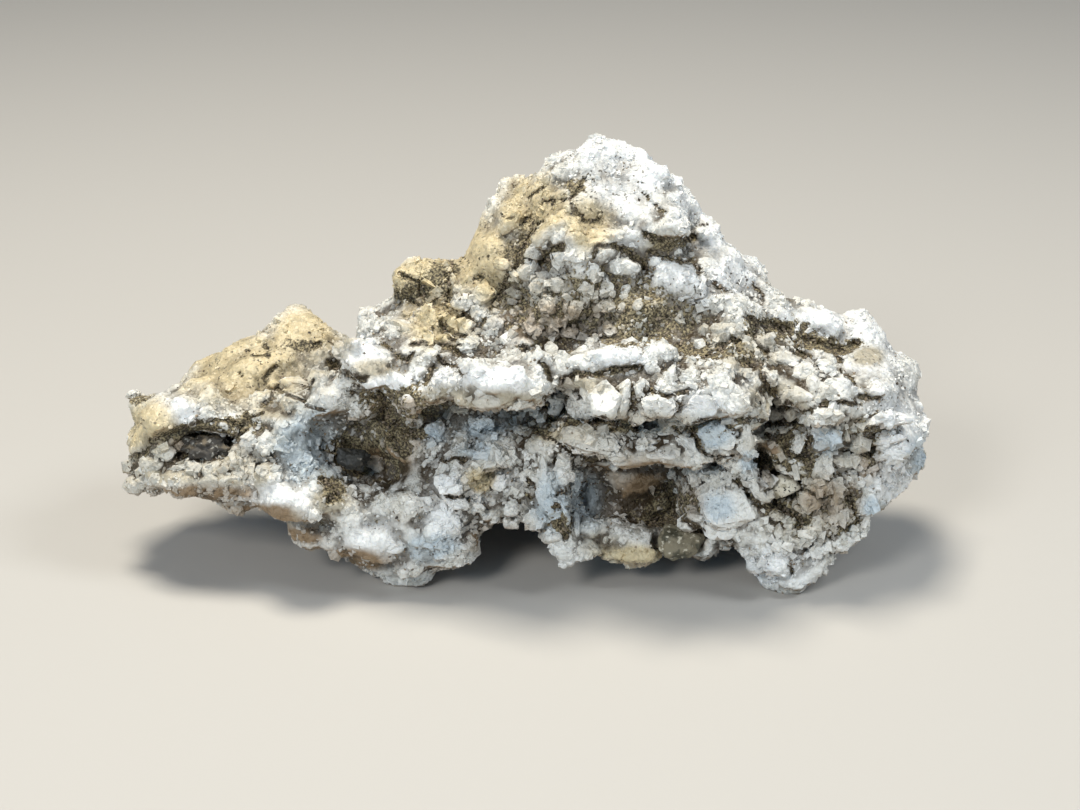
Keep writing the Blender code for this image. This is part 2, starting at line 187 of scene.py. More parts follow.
def cell_noise(points: Array, size: float, seed: int) -> Cells:
    """Finds the nearest seeds of a jittered grid.

    Formula: the least and second least distance to the seeds of the 27 grid cells around each
    point, and how far the point lies along its nearest seed's own chance direction.

    Args:
        points: the places to judge.
        size: the grid's step.
        seed: which chance numbers to use.

    Returns:
        The distances as shares of the step, the nearest seed's number, and the tilt.
    """
    scaled = points / size
    base = np.floor(scaled)
    farther_than_any = 9.0
    near = np.full(len(points), farther_than_any)
    second, number, tilt = near.copy(), np.zeros(len(points)), np.zeros(len(points))
    for corner in np.ndindex(3, 3, 3):
        cell = base + np.array(corner) - 1.0
        offset = cell + np.stack([hashed(cell, seed + axis) for axis in range(3)], axis=1) - scaled
        gap = np.linalg.norm(offset, axis=1)
        closer = gap < near
        second = np.where(closer, near, np.minimum(second, gap))
        near = np.where(closer, gap, near)
        number = np.where(closer, hashed(cell, seed + 7), number)
        lean = np.stack([hashed(cell, seed + 11 + axis) for axis in range(3)], axis=1) - 0.5
        tilt = np.where(closer, (lean * offset).sum(axis=1), tilt)
    return Cells(near, second, number, tilt)


def broken_faces(points: Array, size: float, seed: int) -> Array:
    """Heights of a surface broken into tilted faces with cracks between, about -1 to 1.

    Formula: each cell's own level, plus its own tilt, less a groove where two cells meet.
    """
    groove_width, groove_depth, level, tilt = 0.16, 0.55, 1.1, 1.6
    cells = cell_noise(points, size, seed)
    groove = 1.0 - smooth_step(0.0, groove_width, cells.second - cells.near)
    return (cells.number - 0.5) * level + cells.tilt * tilt - groove * groove_depth


def smooth_step(low: float, high: float, value: Array) -> Array:
    """0 below low, 1 above high, and a soft ramp between."""
    part = np.clip((value - low) / (high - low), 0.0, 1.0)
    return part * part * (3.0 - 2.0 * part)


def turns_on(normals: Array, chance: np.random.Generator, lean: float) -> Array:
    """Turning matrices whose third axis leans away from each normal by a chance amount."""
    up = unit(normals + chance.normal(size=normals.shape) * lean)
    side = unit(np.cross(up, chance.normal(size=normals.shape)))
    return np.stack([side, np.cross(up, side), up], axis=2)


def make_mesh(
    name: str, points: Array, faces: Array, smooth: bool, crisp_deg: float = 180.0
) -> bpy.types.Object:
    """Puts whole arrays of points and equal-sided faces into a new object at the origin.

    Args:
        name: the object's name.
        points: one row of x, y, z a corner.
        faces: one row of corner numbers a face, all with as many corners.
        smooth: whether its faces are shaded smooth.
        crisp_deg: an edge between faces that turn by more than this stays crisp.

    Returns:
        The linked object.
    """
    count, sides = faces.shape
    mesh = bpy.data.meshes.new(name)
    mesh.vertices.add(len(points))
    mesh.vertices.foreach_set("co", points.astype(np.float32).ravel())
    mesh.loops.add(count * sides)
    mesh.loops.foreach_set("vertex_index", faces.astype(np.int32).ravel())
    mesh.polygons.add(count)
    mesh.polygons.foreach_set("loop_start", np.arange(0, count * sides, sides, dtype=np.int32))
    mesh.polygons.foreach_set("use_smooth", np.full(count, smooth))
    mesh.update(calc_edges=True)
    mesh.validate()
    if smooth and crisp_deg < 180.0:
        mesh.set_sharp_from_angle(angle=math.radians(crisp_deg))
    item = bpy.data.objects.new(name, mesh)
    bpy.context.scene.collection.objects.link(item)
    return item


def mesh_arrays(mesh: bpy.types.Mesh) -> tuple[Array, Array, Array]:
    """The points, triangles and edges of a mesh as arrays."""
    mesh.calc_loop_triangles()
    points = np.empty(len(mesh.vertices) * 3, np.float32)
    mesh.vertices.foreach_get("co", points)
    triangles = np.empty(len(mesh.loop_triangles) * 3, np.int32)
    mesh.loop_triangles.foreach_get("vertices", triangles)
    edges = np.empty(len(mesh.edges) * 2, np.int32)
    mesh.edges.foreach_get("vertices", edges)
    return points.reshape(-1, 3).astype(float), triangles.reshape(-1, 3), edges.reshape(-1, 2)


def point_normals(points: Array, triangles: Array) -> Array:
    """Unit normals at the corners: the sum of the area-weighted normals of the faces that meet there."""
    corner = points[triangles]
    face = np.cross(corner[:, 1] - corner[:, 0], corner[:, 2] - corner[:, 0])
    total = np.stack(
        [np.bincount(triangles.ravel(), np.repeat(face[:, axis], 3), len(points)) for axis in range(3)],
        axis=1,
    )
    return unit(total)


def relaxed(points: Array, edges: Array, rounds: int) -> Array:
    """Each point moved to the mean of its neighbours, this many times."""
    both = np.concatenate([edges, edges[:, ::-1]])
    count = np.maximum(np.bincount(both[:, 0], minlength=len(points)), 1)[:, None]
    for _ in range(rounds):
        near = points[both[:, 1]]
        total = [np.bincount(both[:, 0], near[:, axis], len(points)) for axis in range(3)]
        points = np.stack(total, axis=1) / count
    return points


def ball_grid(around: int, along: int) -> tuple[Array, Array]:
    """Unit directions of a closed ball and its triangles.

    Formula: rings of points at even angles from pole to pole, with one point at each pole.

    Args:
        around: points on each ring.
        along: rings between the poles.

    Returns:
        The directions and the triangles, facing outwards.
    """
    turn = np.arange(around) * (2 * math.pi / around)
    drop = (np.arange(along) + 1) * (math.pi / (along + 1))
    drop, turn = (grid.ravel() for grid in np.meshgrid(drop, turn, indexing="ij"))
    ring = np.stack([np.sin(drop) * np.cos(turn), np.sin(drop) * np.sin(turn), np.cos(drop)], axis=1)
    points = np.concatenate([[[0.0, 0.0, 1.0]], ring, [[0.0, 0.0, -1.0]]])
    here = np.arange(around)
    after = (here + 1) % around
    faces = [np.stack([np.zeros(around, int), here + 1, after + 1], axis=1)]
    for row in range(along - 1):
        top, low = 1 + row * around, 1 + (row + 1) * around
        faces.append(np.stack([top + here, low + here, low + after], axis=1))
        faces.append(np.stack([top + here, low + after, top + after], axis=1))
    last, end = 1 + (along - 1) * around, len(points) - 1
    faces.append(np.stack([last + here, np.full(around, end), last + after], axis=1))
    return points, np.concatenate(faces)


def faces_of_copies(faces: Array, copies: int, corners: int) -> Array:
    """The triangles of many copies of a shape, whose corners follow one another."""
    return (faces[None] + (np.arange(copies) * corners)[:, None, None]).reshape(-1, faces.shape[1])


CUBE = np.array([(x, y, z) for x in (-1.0, 1.0) for y in (-1.0, 1.0) for z in (-1.0, 1.0)])
CUBE_FACES = np.array(
    (
        (0, 1, 3), (0, 3, 2), (4, 6, 7), (4, 7, 5), (0, 4, 5), (0, 5, 1),
        (2, 3, 7), (2, 7, 6), (0, 2, 6), (0, 6, 4), (1, 5, 7), (1, 7, 3),
    )
)
CRYSTAL_REACH = 0.82
OCTAHEDRON = np.array([(1, 0, 0), (-1, 0, 0), (0, 1, 0), (0, -1, 0), (0, 0, 1), (0, 0, -1)], float)
OCTAHEDRON_FACES = np.array(
    ((0, 2, 4), (2, 1, 4), (1, 3, 4), (3, 0, 4), (2, 0, 5), (1, 2, 5), (3, 1, 5), (0, 3, 5))
)


class GrainShape(Enum):
    """The closed shape that each grain starts from."""

    CRYSTAL = "skewed six-sided block"
    GRIT = "eight-sided chip"

    @property
    def corners(self) -> tuple[Array, Array]:
        """The shape's corners and triangles."""
        if self is GrainShape.CRYSTAL:
            return CUBE * CRYSTAL_REACH, CUBE_FACES
        return OCTAHEDRON, OCTAHEDRON_FACES


class Kind(Enum):
    """How one grown lump of the crust is shaped."""

    SWELL = "soft swelling of the crust itself"
    BLOB = "melted, rounded lump"
    BLOCK = "blunt, many-sided crystal"
    BLADE = "thin crystal on edge"
    PLATE = "flat crystal lying in the surface"


@dataclass(frozen=True)
class Cut:
    """How blocks are cut.

    planes is how many planes cut each block, blunt how rounded its edges are, and upright how
    nearly its sides stand up. top is how far out the flat top lies and top_lean how it leans. No
    other plane lies nearer than least, and no corner reaches past most.
    """

    planes: int
    blunt: float
    upright: float = 0.0
    top: float = 1.2
    least: float = 0.62
    top_lean: float = 0.22
    most: float = 1.12


@dataclass(frozen=True)
class Growth:
    """One kind of lump.

    depth is its depth for its breadth, proud how far it stands out, buds how many smaller lumps
    grow on it, follow how far it turns from the camera to the surface's normal, and knobs_mm how
    high the knobs on it are.
    """

    depth: float
    proud: float
    buds: int
    follow: float
    knobs_mm: float
    cut: Cut


GROWTHS = {
    Kind.SWELL: Growth(0.75, 0.36, 1, 0.3, 0.0, Cut(12, 0.20)),
    Kind.BLOB: Growth(0.80, 0.33, 1, 0.3, 0.09, Cut(12, 0.15)),
    Kind.BLOCK: Growth(1.00, 0.54, 1, 0.2, 0.07, Cut(8, 0.035, 0.5, 0.72)),
    Kind.BLADE: Growth(1.20, 0.50, 1, 0.0, 0.05, Cut(7, 0.03, 0.6, 0.80)),
    Kind.PLATE: Growth(0.62, 0.60, 0, 0.55, 0.13, Cut(8, 0.02, 0.75, 0.55)),
}

# Lumps read from the photograph: across, down, breadth, height and, where it leans, its clockwise tilt in
# degrees. Pixels of the 1080 by 810 picture.
SWELLS = (
    (183, 411, 34, 26, -10), (284, 499, 70, 42, 15), (203, 383, 50, 14, -5), (365, 351, 44, 26, 10),
    (398, 382, 40, 20, 35), (420, 374, 24, 20), (449, 384, 34, 26, 10), (475, 368, 36, 22, 25),
    (504, 386, 60, 34), (531, 390, 34, 26, -30), (612, 356, 52, 24), (585, 362, 38, 20),
    (371, 315, 34, 26), (371, 541, 56, 40, 30), (607, 150, 26, 18), (589, 152, 22, 12),
    (572, 154, 12, 10), (550, 160, 16, 12), (567, 172, 34, 26), (630, 158, 26, 20), (659, 171, 26, 18),
    (674, 184, 20, 16), (676, 202, 16, 20), (671, 222, 22, 20), (508, 180, 16, 12), (519, 176, 14, 10),
    (493, 202, 16, 12), (702, 241, 34, 26), (668, 283, 56, 38, 10), (772, 565, 44, 26, 20),
    (795, 581, 50, 16), (812, 572, 24, 18), (808, 320, 50, 24, 15), (829, 331, 34, 22, 10),
    (804, 306, 18, 12), (856, 314, 20, 18), (871, 339, 14, 12), (717, 304, 34, 20), (917, 407, 16, 14),
    (877, 388, 30, 20), (586, 506, 28, 70, 5), (590, 530, 30, 26),
)
ARM_BLOBS = (
    (207, 413, 16, 12), (133, 485, 24, 18), (152, 466, 26, 18), (129, 468, 20, 14), (195, 466, 22, 20),
    (212, 466, 18, 26), (207, 483, 24, 18), (231, 480, 22, 14), (243, 463, 30, 22), (255, 442, 34, 28),
    (236, 449, 16, 12), (293, 406, 34, 22, 20), (296, 383, 30, 14, 5), (272, 385, 22, 14),
    (324, 378, 30, 20), (346, 382, 26, 18), (303, 425, 18, 14), (265, 445, 20, 22), (315, 487, 18, 12),
    (246, 475, 26, 14), (357, 537, 30, 20),
)
ARM_BLOCKS = ((164, 453, 24, 15, 20), (179, 446, 18, 12, -25), (133, 395, 14, 10))
LEDGE_BLOBS = (
    (402, 327, 34, 18, 15), (422, 333, 18, 12), (445, 341, 18, 14), (431, 355, 22, 16),
    (488, 400, 30, 16), (516, 404, 34, 14), (431, 396, 12, 10), (490, 325, 22, 22), (661, 354, 30, 26),
)
LEDGE_BLOCKS = (
    (469, 327, 18, 14), (484, 296, 24, 20), (463, 304, 22, 14), (465, 345, 16, 14),
)
LEDGE_BLADES = ((453, 323, 12, 22, -60),)
WALL_BLOBS = (
    (379, 466, 18, 26, -20), (362, 478, 26, 12), (480, 480, 20, 18), (441, 521, 34, 36, -45),
    (396, 545, 30, 24), (410, 566, 22, 22), (361, 531, 20, 12), (435, 543, 40, 14), (545, 484, 22, 60),
    (537, 519, 24, 22), (553, 537, 26, 22), (563, 551, 24, 18), (522, 433, 20, 16),
)
WALL_BLOCKS = (
    (435, 431, 22, 16), (414, 423, 14, 10), (455, 474, 10, 12), (447, 484, 30, 16, 25),
    (473, 492, 18, 12), (455, 502, 28, 14, 20), (475, 508, 18, 12), (500, 482, 18, 16),
    (512, 508, 20, 14), (512, 523, 16, 10), (530, 476, 20, 16), (492, 451, 16, 10), (441, 555, 14, 8),
    (463, 547, 12, 8), (484, 423, 26, 14), (461, 441, 16, 10),
)
SUMMIT_BLOBS = (
    (567, 233, 26, 30), (559, 237, 30, 20), (578, 239, 24, 18), (569, 211, 14, 26), (606, 235, 36, 24),
    (626, 233, 26, 20), (535, 252, 30, 16), (593, 270, 20, 14), (617, 263, 40, 20, 15),
    (657, 259, 22, 18), (648, 276, 26, 18), (689, 289, 30, 34),
)
SUMMIT_BLOCKS = (
    (513, 222, 30, 16, -40), (502, 263, 16, 14), (574, 258, 18, 10), (530, 274, 26, 20),
    (541, 287, 24, 22), (559, 285, 16, 14), (548, 307, 18, 16), (576, 307, 14, 18), (607, 289, 16, 14),
    (604, 307, 18, 14), (557, 322, 16, 10), (569, 331, 18, 12), (537, 333, 10, 12), (611, 331, 14, 12),
    (626, 289, 8, 8), (639, 305, 10, 10), (593, 296, 10, 10), (519, 294, 10, 10), (585, 289, 12, 12),
)
SHELF_PLATES = (
    (563, 364, 20, 26), (552, 352, 18, 20), (640, 361, 20, 12), (651, 370, 16, 14),
    (728, 392, 44, 30, 40), (742, 408, 18, 14), (690, 377, 20, 16), (556, 405, 20, 22),
    (583, 406, 34, 26), (607, 400, 36, 34), (617, 414, 16, 12), (658, 407, 36, 22), (638, 416, 18, 18),
    (654, 424, 18, 8), (697, 406, 42, 28, -25), (674, 419, 16, 10, -20), (586, 440, 58, 20, 18),
    (645, 434, 20, 9), (647, 443, 24, 9), (665, 432, 18, 10), (688, 445, 30, 10, 35), (661, 456, 28, 8),
    (619, 456, 14, 10), (716, 436, 36, 32, 20),
)
SHELF_BLADES = ((668, 379, 14, 26, 30), (625, 400, 12, 40, 10), (640, 389, 8, 18, 20))
FOOT_BLADES = (
    (745, 440, 16, 34, -20), (750, 474, 56, 19, 57), (736, 462, 12, 22, -30), (694, 472, 10, 26),
    (576, 481, 14, 22), (563, 468, 16, 30), (577, 523, 8, 26),
)
FOOT_PLATES = (
    (736, 477, 22, 30), (713, 477, 26, 18), (706, 493, 22, 12), (729, 507, 56, 44, 25),
    (749, 511, 20, 16), (720, 531, 30, 24), (760, 429, 16, 16),
)
FOOT_BLOBS = (
    (567, 561, 16, 16), (586, 549, 30, 20), (640, 557, 34, 14, -5), (615, 556, 24, 10),
    (708, 547, 12, 14), (724, 545, 12, 14), (747, 554, 10, 12), (780, 569, 22, 14), (759, 565, 20, 14),
)
RIGHT_BLOBS = (
    (762, 344, 26, 20, 10), (722, 331, 34, 24), (781, 360, 30, 18), (804, 371, 34, 24),
    (795, 396, 34, 18), (814, 388, 20, 26), (825, 367, 26, 18), (842, 388, 32, 24), (829, 396, 18, 18),
    (825, 434, 26, 24), (892, 451, 30, 28),
)
RIGHT_BLOCKS = (
    (825, 415, 34, 18, -10), (800, 440, 11, 12), (795, 448, 12, 11), (755, 435, 18, 22),
    (822, 471, 20, 22), (858, 444, 20, 20), (838, 460, 18, 16), (854, 462, 24, 16, 15),
    (821, 488, 18, 14), (865, 502, 20, 26), (811, 500, 20, 22), (775, 415, 16, 12), (786, 428, 14, 12),
    (770, 433, 12, 10), (792, 413, 12, 9), (781, 400, 14, 10), (922, 430, 12, 16),
    (888, 417, 44, 16, 10), (835, 516, 19, 16), (798, 509, 14, 10), (842, 542, 26, 16),
    (820, 550, 20, 14), (777, 516, 15, 12), (808, 531, 17, 16),
)
RIGHT_BLADES = (
    (837, 494, 11, 28), (880, 420, 44, 10, -15), (886, 440, 40, 10, -12), (890, 456, 34, 10, -10),
)

GROWN = {
    Kind.SWELL: SWELLS,
    Kind.BLOB: ARM_BLOBS + LEDGE_BLOBS + WALL_BLOBS + SUMMIT_BLOBS + FOOT_BLOBS + RIGHT_BLOBS,
    Kind.BLOCK: ARM_BLOCKS + LEDGE_BLOCKS + WALL_BLOCKS + SUMMIT_BLOCKS + RIGHT_BLOCKS,
    Kind.BLADE: LEDGE_BLADES + SHELF_BLADES + FOOT_BLADES + RIGHT_BLADES,
    Kind.PLATE: SHELF_PLATES + FOOT_PLATES,
}

# Where each stain lies: across, down, and how far it reaches sideways and up, in picture pixels.
CREAM_PLACES = (
    (240, 365, 70, 42), (146, 425, 28, 30), (482, 258, 42, 46), (415, 275, 38, 28), (435, 322, 38, 24),
    (530, 208, 40, 34), (640, 556, 46, 12), (480, 480, 16, 14), (590, 225, 30, 26), (300, 330, 40, 26),
)
DIRT_PLACES = (
    (202, 431, 40, 9), (386, 420, 30, 18), (540, 302, 36, 30), (636, 316, 50, 24), (668, 243, 15, 6),
    (776, 330, 34, 11), (816, 344, 24, 7), (575, 188, 10, 8), (770, 461, 11, 14), (400, 398, 40, 14),
    (334, 490, 14, 14), (560, 520, 12, 12), (785, 510, 18, 14), (352, 450, 18, 14), (133, 396, 14, 12),
    (240, 426, 18, 12), (410, 288, 20, 14), (600, 428, 44, 7), (585, 300, 60, 28), (870, 462, 12, 14),
    (815, 495, 40, 30), (640, 338, 34, 10), (390, 437, 26, 16), (520, 252, 18, 14), (660, 318, 36, 14),
    (810, 490, 30, 18), (840, 520, 18, 22), (600, 428, 40, 6), (690, 430, 50, 6), (436, 280, 16, 20),
    (672, 512, 26, 16), (720, 350, 50, 10), (870, 430, 20, 14), (790, 440, 14, 12), (300, 345, 22, 6),
)
# Painted shade: where the crust is painted the blue-grey of sky-lit shade.
PAINTED_COOL_SHADE_PLACES = (
    (310, 452, 34, 42), (485, 430, 26, 12), (440, 545, 22, 12), (584, 504, 18, 34), (428, 550, 24, 14),
    (715, 432, 24, 18), (827, 440, 14, 12), (921, 458, 12, 20), (436, 436, 16, 10), (476, 450, 22, 8),
    (748, 462, 10, 12), (552, 500, 18, 34), (222, 435, 8, 8), (872, 508, 10, 12), (718, 506, 20, 14),
)
# Dust, and in places painted shade, as on the arm's lower front.
DUST_AND_PAINTED_SHADE_PLACES = (
    (230, 468, 50, 24), (150, 432, 26, 22), (180, 470, 50, 18), (130, 470, 24, 24), (300, 440, 26, 14),
    (330, 500, 20, 22), (560, 205, 20, 14), (664, 246, 18, 9), (800, 505, 44, 36), (772, 440, 24, 40),
    (760, 358, 34, 18), (450, 400, 40, 14), (560, 300, 60, 26), (680, 320, 60, 18), (640, 425, 80, 12),
    (500, 400, 50, 10), (780, 400, 34, 22), (740, 345, 50, 14), (850, 440, 30, 26), (430, 290, 24, 16),
    (310, 350, 40, 24), (250, 520, 60, 14), (600, 545, 20, 14), (590, 385, 30, 9), (278, 410, 24, 12),
    (375, 368, 24, 10), (562, 432, 50, 13), (634, 312, 46, 26), (868, 356, 20, 12),
)
# Brown stain, and painted warm bounce light and shade in the hollows and on the undersides.
BROWN_AND_WARM_BOUNCE_PLACES = (
    (393, 452, 34, 22), (654, 490, 42, 34), (240, 530, 66, 26), (352, 455, 20, 18), (200, 494, 60, 10),
    (262, 512, 30, 10), (868, 465, 12, 16), (345, 562, 50, 14), (300, 535, 30, 9), (500, 540, 40, 16),
    (770, 462, 12, 22), (398, 412, 34, 16), (675, 500, 30, 22), (200, 440, 34, 16), (560, 322, 60, 20),
    (830, 500, 30, 24),
)
# Whiter, snowy gypsum; on the right rim it also paints in light.
SNOW_PLACES = (
    (183, 411, 22, 16), (365, 351, 26, 16), (504, 382, 40, 18), (668, 283, 34, 24), (900, 420, 34, 40),
    (640, 160, 60, 20), (870, 350, 34, 34), (700, 200, 30, 30), (890, 480, 26, 24), (808, 322, 34, 18),
    (449, 384, 24, 18), (697, 406, 30, 20), (606, 150, 40, 16), (284, 499, 44, 28), (371, 541, 36, 28),
    (772, 568, 50, 20), (655, 175, 34, 18), (398, 382, 28, 16), (617, 356, 34, 16), (441, 521, 24, 26),
    (600, 235, 40, 18), (714, 238, 20, 18), (738, 268, 30, 26), (840, 322, 30, 14), (620, 200, 30, 24),
    (692, 292, 24, 20), (452, 487, 18, 14), (478, 493, 18, 10), (503, 480, 16, 12), (436, 430, 12, 9),
)
FLECK_PLACES = (
    (240, 365, 90, 50), (600, 190, 84, 46), (735, 265, 50, 40), (480, 255, 42, 50), (430, 310, 56, 36),
    (700, 290, 44, 30), (870, 350, 30, 34), (150, 425, 30, 34), (400, 280, 30, 24), (560, 340, 60, 16),
)
# Where small crystals crowd together.
BLOCKY_PLACES = (
    (500, 465, 66, 46), (815, 505, 66, 56), (562, 300, 54, 34), (860, 455, 46, 46), (640, 436, 74, 22),
    (765, 395, 66, 42), (455, 315, 40, 26), (712, 300, 30, 36), (250, 460, 60, 26), (545, 400, 40, 24),
    (725, 470, 50, 40), (800, 420, 50, 40),
)
STONE_PLACES = ((204, 442, 30, 18), (354, 453, 22, 20), (678, 540, 28, 26), (784, 478, 26, 24))
# Where no sugary grains grow.
BARE_PLACES = (
    (640, 492, 46, 34), (400, 465, 26, 16), (250, 350, 60, 30), (200, 442, 34, 16), (482, 250, 26, 40),
    (504, 390, 44, 12), (697, 406, 22, 14), (730, 393, 22, 18), (612, 400, 22, 18), (284, 500, 34, 18),
    (365, 354, 22, 14), (612, 356, 26, 12), (762, 345, 14, 9),
)
SMOOTH_PLACES = (
    (311, 310, 18, 14), (132, 396, 12, 12), (690, 175, 16, 14), (640, 490, 46, 40), (240, 365, 86, 40),
    (284, 502, 34, 22), (482, 250, 28, 44), (150, 420, 30, 32), (183, 411, 20, 14), (504, 384, 44, 16),
    (400, 470, 28, 16), (605, 190, 74, 44), (566, 236, 32, 16), (675, 286, 34, 20), (735, 262, 40, 34),
    (816, 322, 34, 18), (872, 350, 26, 44), (904, 420, 20, 40), (365, 354, 26, 18), (400, 384, 20, 10),
    (371, 541, 30, 24), (432, 520, 16, 16), (818, 574, 30, 18), (795, 376, 24, 18), (838, 388, 20, 14),
    (700, 405, 22, 16), (735, 398, 22, 22), (612, 402, 22, 18), (612, 356, 30, 14), (729, 507, 24, 18),
    (715, 435, 22, 16),
)

# Crevices, each read as a line: its half width, then across and down at each of its points. They are sunk
# in and painted dark, as shade and as the sand caught in them; the widest stand in for shaded pits and
# hollows.
VEINS = (
    (2, 517, 262, 521, 250, 527, 240, 536, 229, 541, 222), (2.5, 522, 222, 530, 215),
    (1.5, 541, 204, 549, 201, 562, 201, 572, 197, 578, 190, 583, 178, 588, 175),
    (1.5, 530, 196, 537, 193, 545, 186), (2, 572, 204, 577, 214, 582, 217),
    (1.5, 583, 222, 594, 222, 601, 218), (1.5, 500, 214, 510, 218, 517, 214),
    (2.5, 593, 257, 597, 247, 612, 246, 628, 252, 640, 262, 647, 271),
    (2.5, 645, 232, 655, 238, 668, 240, 682, 240, 694, 236),
    (2, 650, 252, 665, 256, 680, 262, 694, 262), (1.5, 643, 192, 650, 200), (1.5, 655, 206, 665, 212),
    (2.5, 694, 262, 700, 273), (2, 516, 264, 512, 272, 505, 284, 500, 296),
    (3.5, 562, 246, 556, 252, 546, 260), (1.5, 713, 283, 718, 288, 728, 290),
    (1.5, 752, 284, 758, 290, 764, 300), (4, 748, 318, 758, 324, 770, 326, 784, 329),
    (2, 748, 334, 738, 338, 730, 345, 720, 351, 704, 358),
    (1.5, 786, 332, 793, 342, 800, 352, 812, 362, 820, 370),
    (4, 802, 340, 815, 342, 830, 348, 845, 352, 856, 344), (2.5, 835, 355, 842, 363),
    (1.5, 842, 372, 852, 380, 856, 388), (2.5, 744, 362, 752, 368), (3.5, 762, 376, 768, 386, 775, 394),
    (2.5, 786, 402, 796, 410, 806, 413, 816, 406, 830, 404, 845, 402, 857, 405),
    (2.5, 858, 396, 868, 398, 880, 398), (2.5, 736, 420, 760, 420, 775, 424, 790, 424, 800, 421),
    (2.5, 866, 440, 872, 448, 868, 456), (2, 541, 360, 546, 372, 552, 380),
    (2.5, 562, 378, 580, 375, 600, 375, 612, 369, 622, 371, 640, 367),
    (2.5, 545, 397, 547, 407, 543, 412), (1.5, 567, 396, 566, 412),
    (2.5, 552, 418, 570, 421, 590, 422, 604, 418, 614, 424, 628, 423, 638, 429),
    (1.5, 631, 384, 633, 398, 630, 408), (2, 644, 389, 655, 394, 670, 396, 680, 392, 690, 390),
    (1.5, 676, 398, 678, 410, 672, 412), (2, 688, 426, 700, 420, 716, 418),
    (2, 695, 432, 694, 442, 700, 452, 715, 457, 732, 455), (2, 560, 443, 575, 453, 592, 461, 606, 459),
    (2, 535, 428, 548, 437, 560, 443), (1.5, 383, 344, 390, 350, 398, 358, 408, 360, 414, 352),
    (2.5, 412, 345, 422, 342, 432, 345, 446, 347, 455, 352, 462, 356, 472, 356),
    (2, 440, 320, 444, 330, 450, 338, 460, 344), (1.5, 450, 290, 449, 302, 448, 312),
    (1.5, 460, 312, 468, 318, 478, 320), (1.5, 484, 320, 494, 308, 497, 298, 493, 290),
    (1.5, 462, 338, 474, 330, 484, 322), (2, 434, 366, 430, 376, 427, 383),
    (2, 438, 356, 446, 364, 456, 366, 461, 373), (2, 520, 346, 532, 351, 537, 344),
    (2, 536, 361, 546, 368, 549, 380), (3.5, 332, 362, 342, 372, 352, 376, 366, 379),
    (2, 398, 274, 408, 278, 420, 280), (2, 386, 288, 400, 296, 414, 300, 424, 302),
    (2.5, 421, 285, 424, 296, 430, 294), (1.5, 444, 272, 448, 282), (2, 449, 256, 453, 268, 452, 276),
    (2, 475, 278, 484, 278), (2.5, 134, 456, 147, 452, 154, 446, 151, 440),
    (2.5, 152, 440, 165, 438, 178, 432, 190, 427),
    (2, 190, 427, 200, 421, 212, 420, 225, 420, 244, 426),
    (2.5, 222, 456, 228, 446, 234, 438, 241, 431), (2, 188, 458, 205, 461, 222, 458),
    (2, 262, 405, 270, 400, 276, 388, 282, 392, 292, 396, 304, 402, 312, 408, 324, 411),
    (1.5, 303, 386, 310, 388, 314, 380), (1.5, 247, 350, 248, 351), (2, 265, 346, 267, 350),
    (1.5, 240, 372, 242, 376), (1.5, 252, 357, 262, 356, 269, 355), (2.5, 315, 346, 320, 344),
    (2, 264, 378, 270, 372, 276, 366), (2, 246, 415, 255, 421, 262, 413),
    (2, 330, 361, 337, 365, 341, 372), (2, 337, 440, 334, 452, 340, 461, 350, 467, 366, 474),
    (3.5, 321, 480, 330, 486, 336, 494, 328, 501), (2, 446, 462, 456, 458, 466, 462),
    (1.5, 443, 494, 456, 498, 466, 496), (1.5, 555, 454, 556, 462), (1.5, 556, 495, 566, 490, 574, 486),
    (3.5, 555, 505, 562, 520, 566, 535), (2, 526, 478, 533, 486, 530, 498),
    (2.5, 757, 450, 762, 458, 770, 461, 782, 461, 790, 468),
    (2.5, 759, 460, 758, 475, 764, 487, 773, 495),
    (2, 735, 478, 745, 490, 755, 501, 764, 505, 776, 505), (1.5, 793, 478, 806, 482),
    (4, 776, 502, 786, 511, 796, 516, 803, 522, 797, 534), (2.5, 846, 492, 850, 505, 852, 513),
    (2, 840, 525, 850, 528, 857, 520), (3.5, 785, 445, 790, 455, 800, 456, 812, 456),
    (2.5, 766, 434, 775, 440, 783, 436), (2.5, 805, 425, 812, 433, 808, 446), (2, 790, 565, 792, 573),
    (5, 776, 474, 786, 487), (5, 190, 435, 205, 433, 222, 437), (6, 346, 446, 356, 452),
    (4, 650, 524, 664, 516, 684, 518, 700, 528), (9, 384, 414, 397, 420, 410, 430),
    (7, 396, 438, 406, 450), (6, 670, 486, 680, 500, 676, 514),
)


class Stain(Enum):
    """The named masks that every gypsum surface carries: its stains, and where shade and bounce light are
    painted into its colour.
    """

    CREAM = "cream"
    DIRT = "dirt"
    VEIN = "vein"
    DUSTY = "dusty"
    COOL = "cool"
    BROWN = "brown"
    SNOW = "snow"
    # How hollow the surface is: it paints shade into the hollows and gathers sand there.
    HOLLOW = "hollow"
    FLECK = "fleck"


STAIN_PLACES = {
    Stain.CREAM: CREAM_PLACES,
    Stain.DIRT: DIRT_PLACES,
    Stain.DUSTY: DUST_AND_PAINTED_SHADE_PLACES,
    Stain.COOL: PAINTED_COOL_SHADE_PLACES,
    Stain.BROWN: BROWN_AND_WARM_BOUNCE_PLACES,
    Stain.SNOW: SNOW_PLACES,
    Stain.FLECK: FLECK_PLACES,
}


def picture_place(points: Array) -> tuple[Array, Array]:
    """Where points fall on the photograph, in pixels."""
    right, up, forward = CAMERA.axes
    away = points - CAMERA.place
    depth = away @ forward
    across = CAMERA.width_px / 2 + CAMERA.focal_px * (away @ right) / depth
    down = CAMERA.height_px / 2 - CAMERA.focal_px * (away @ up) / depth
    return across, down


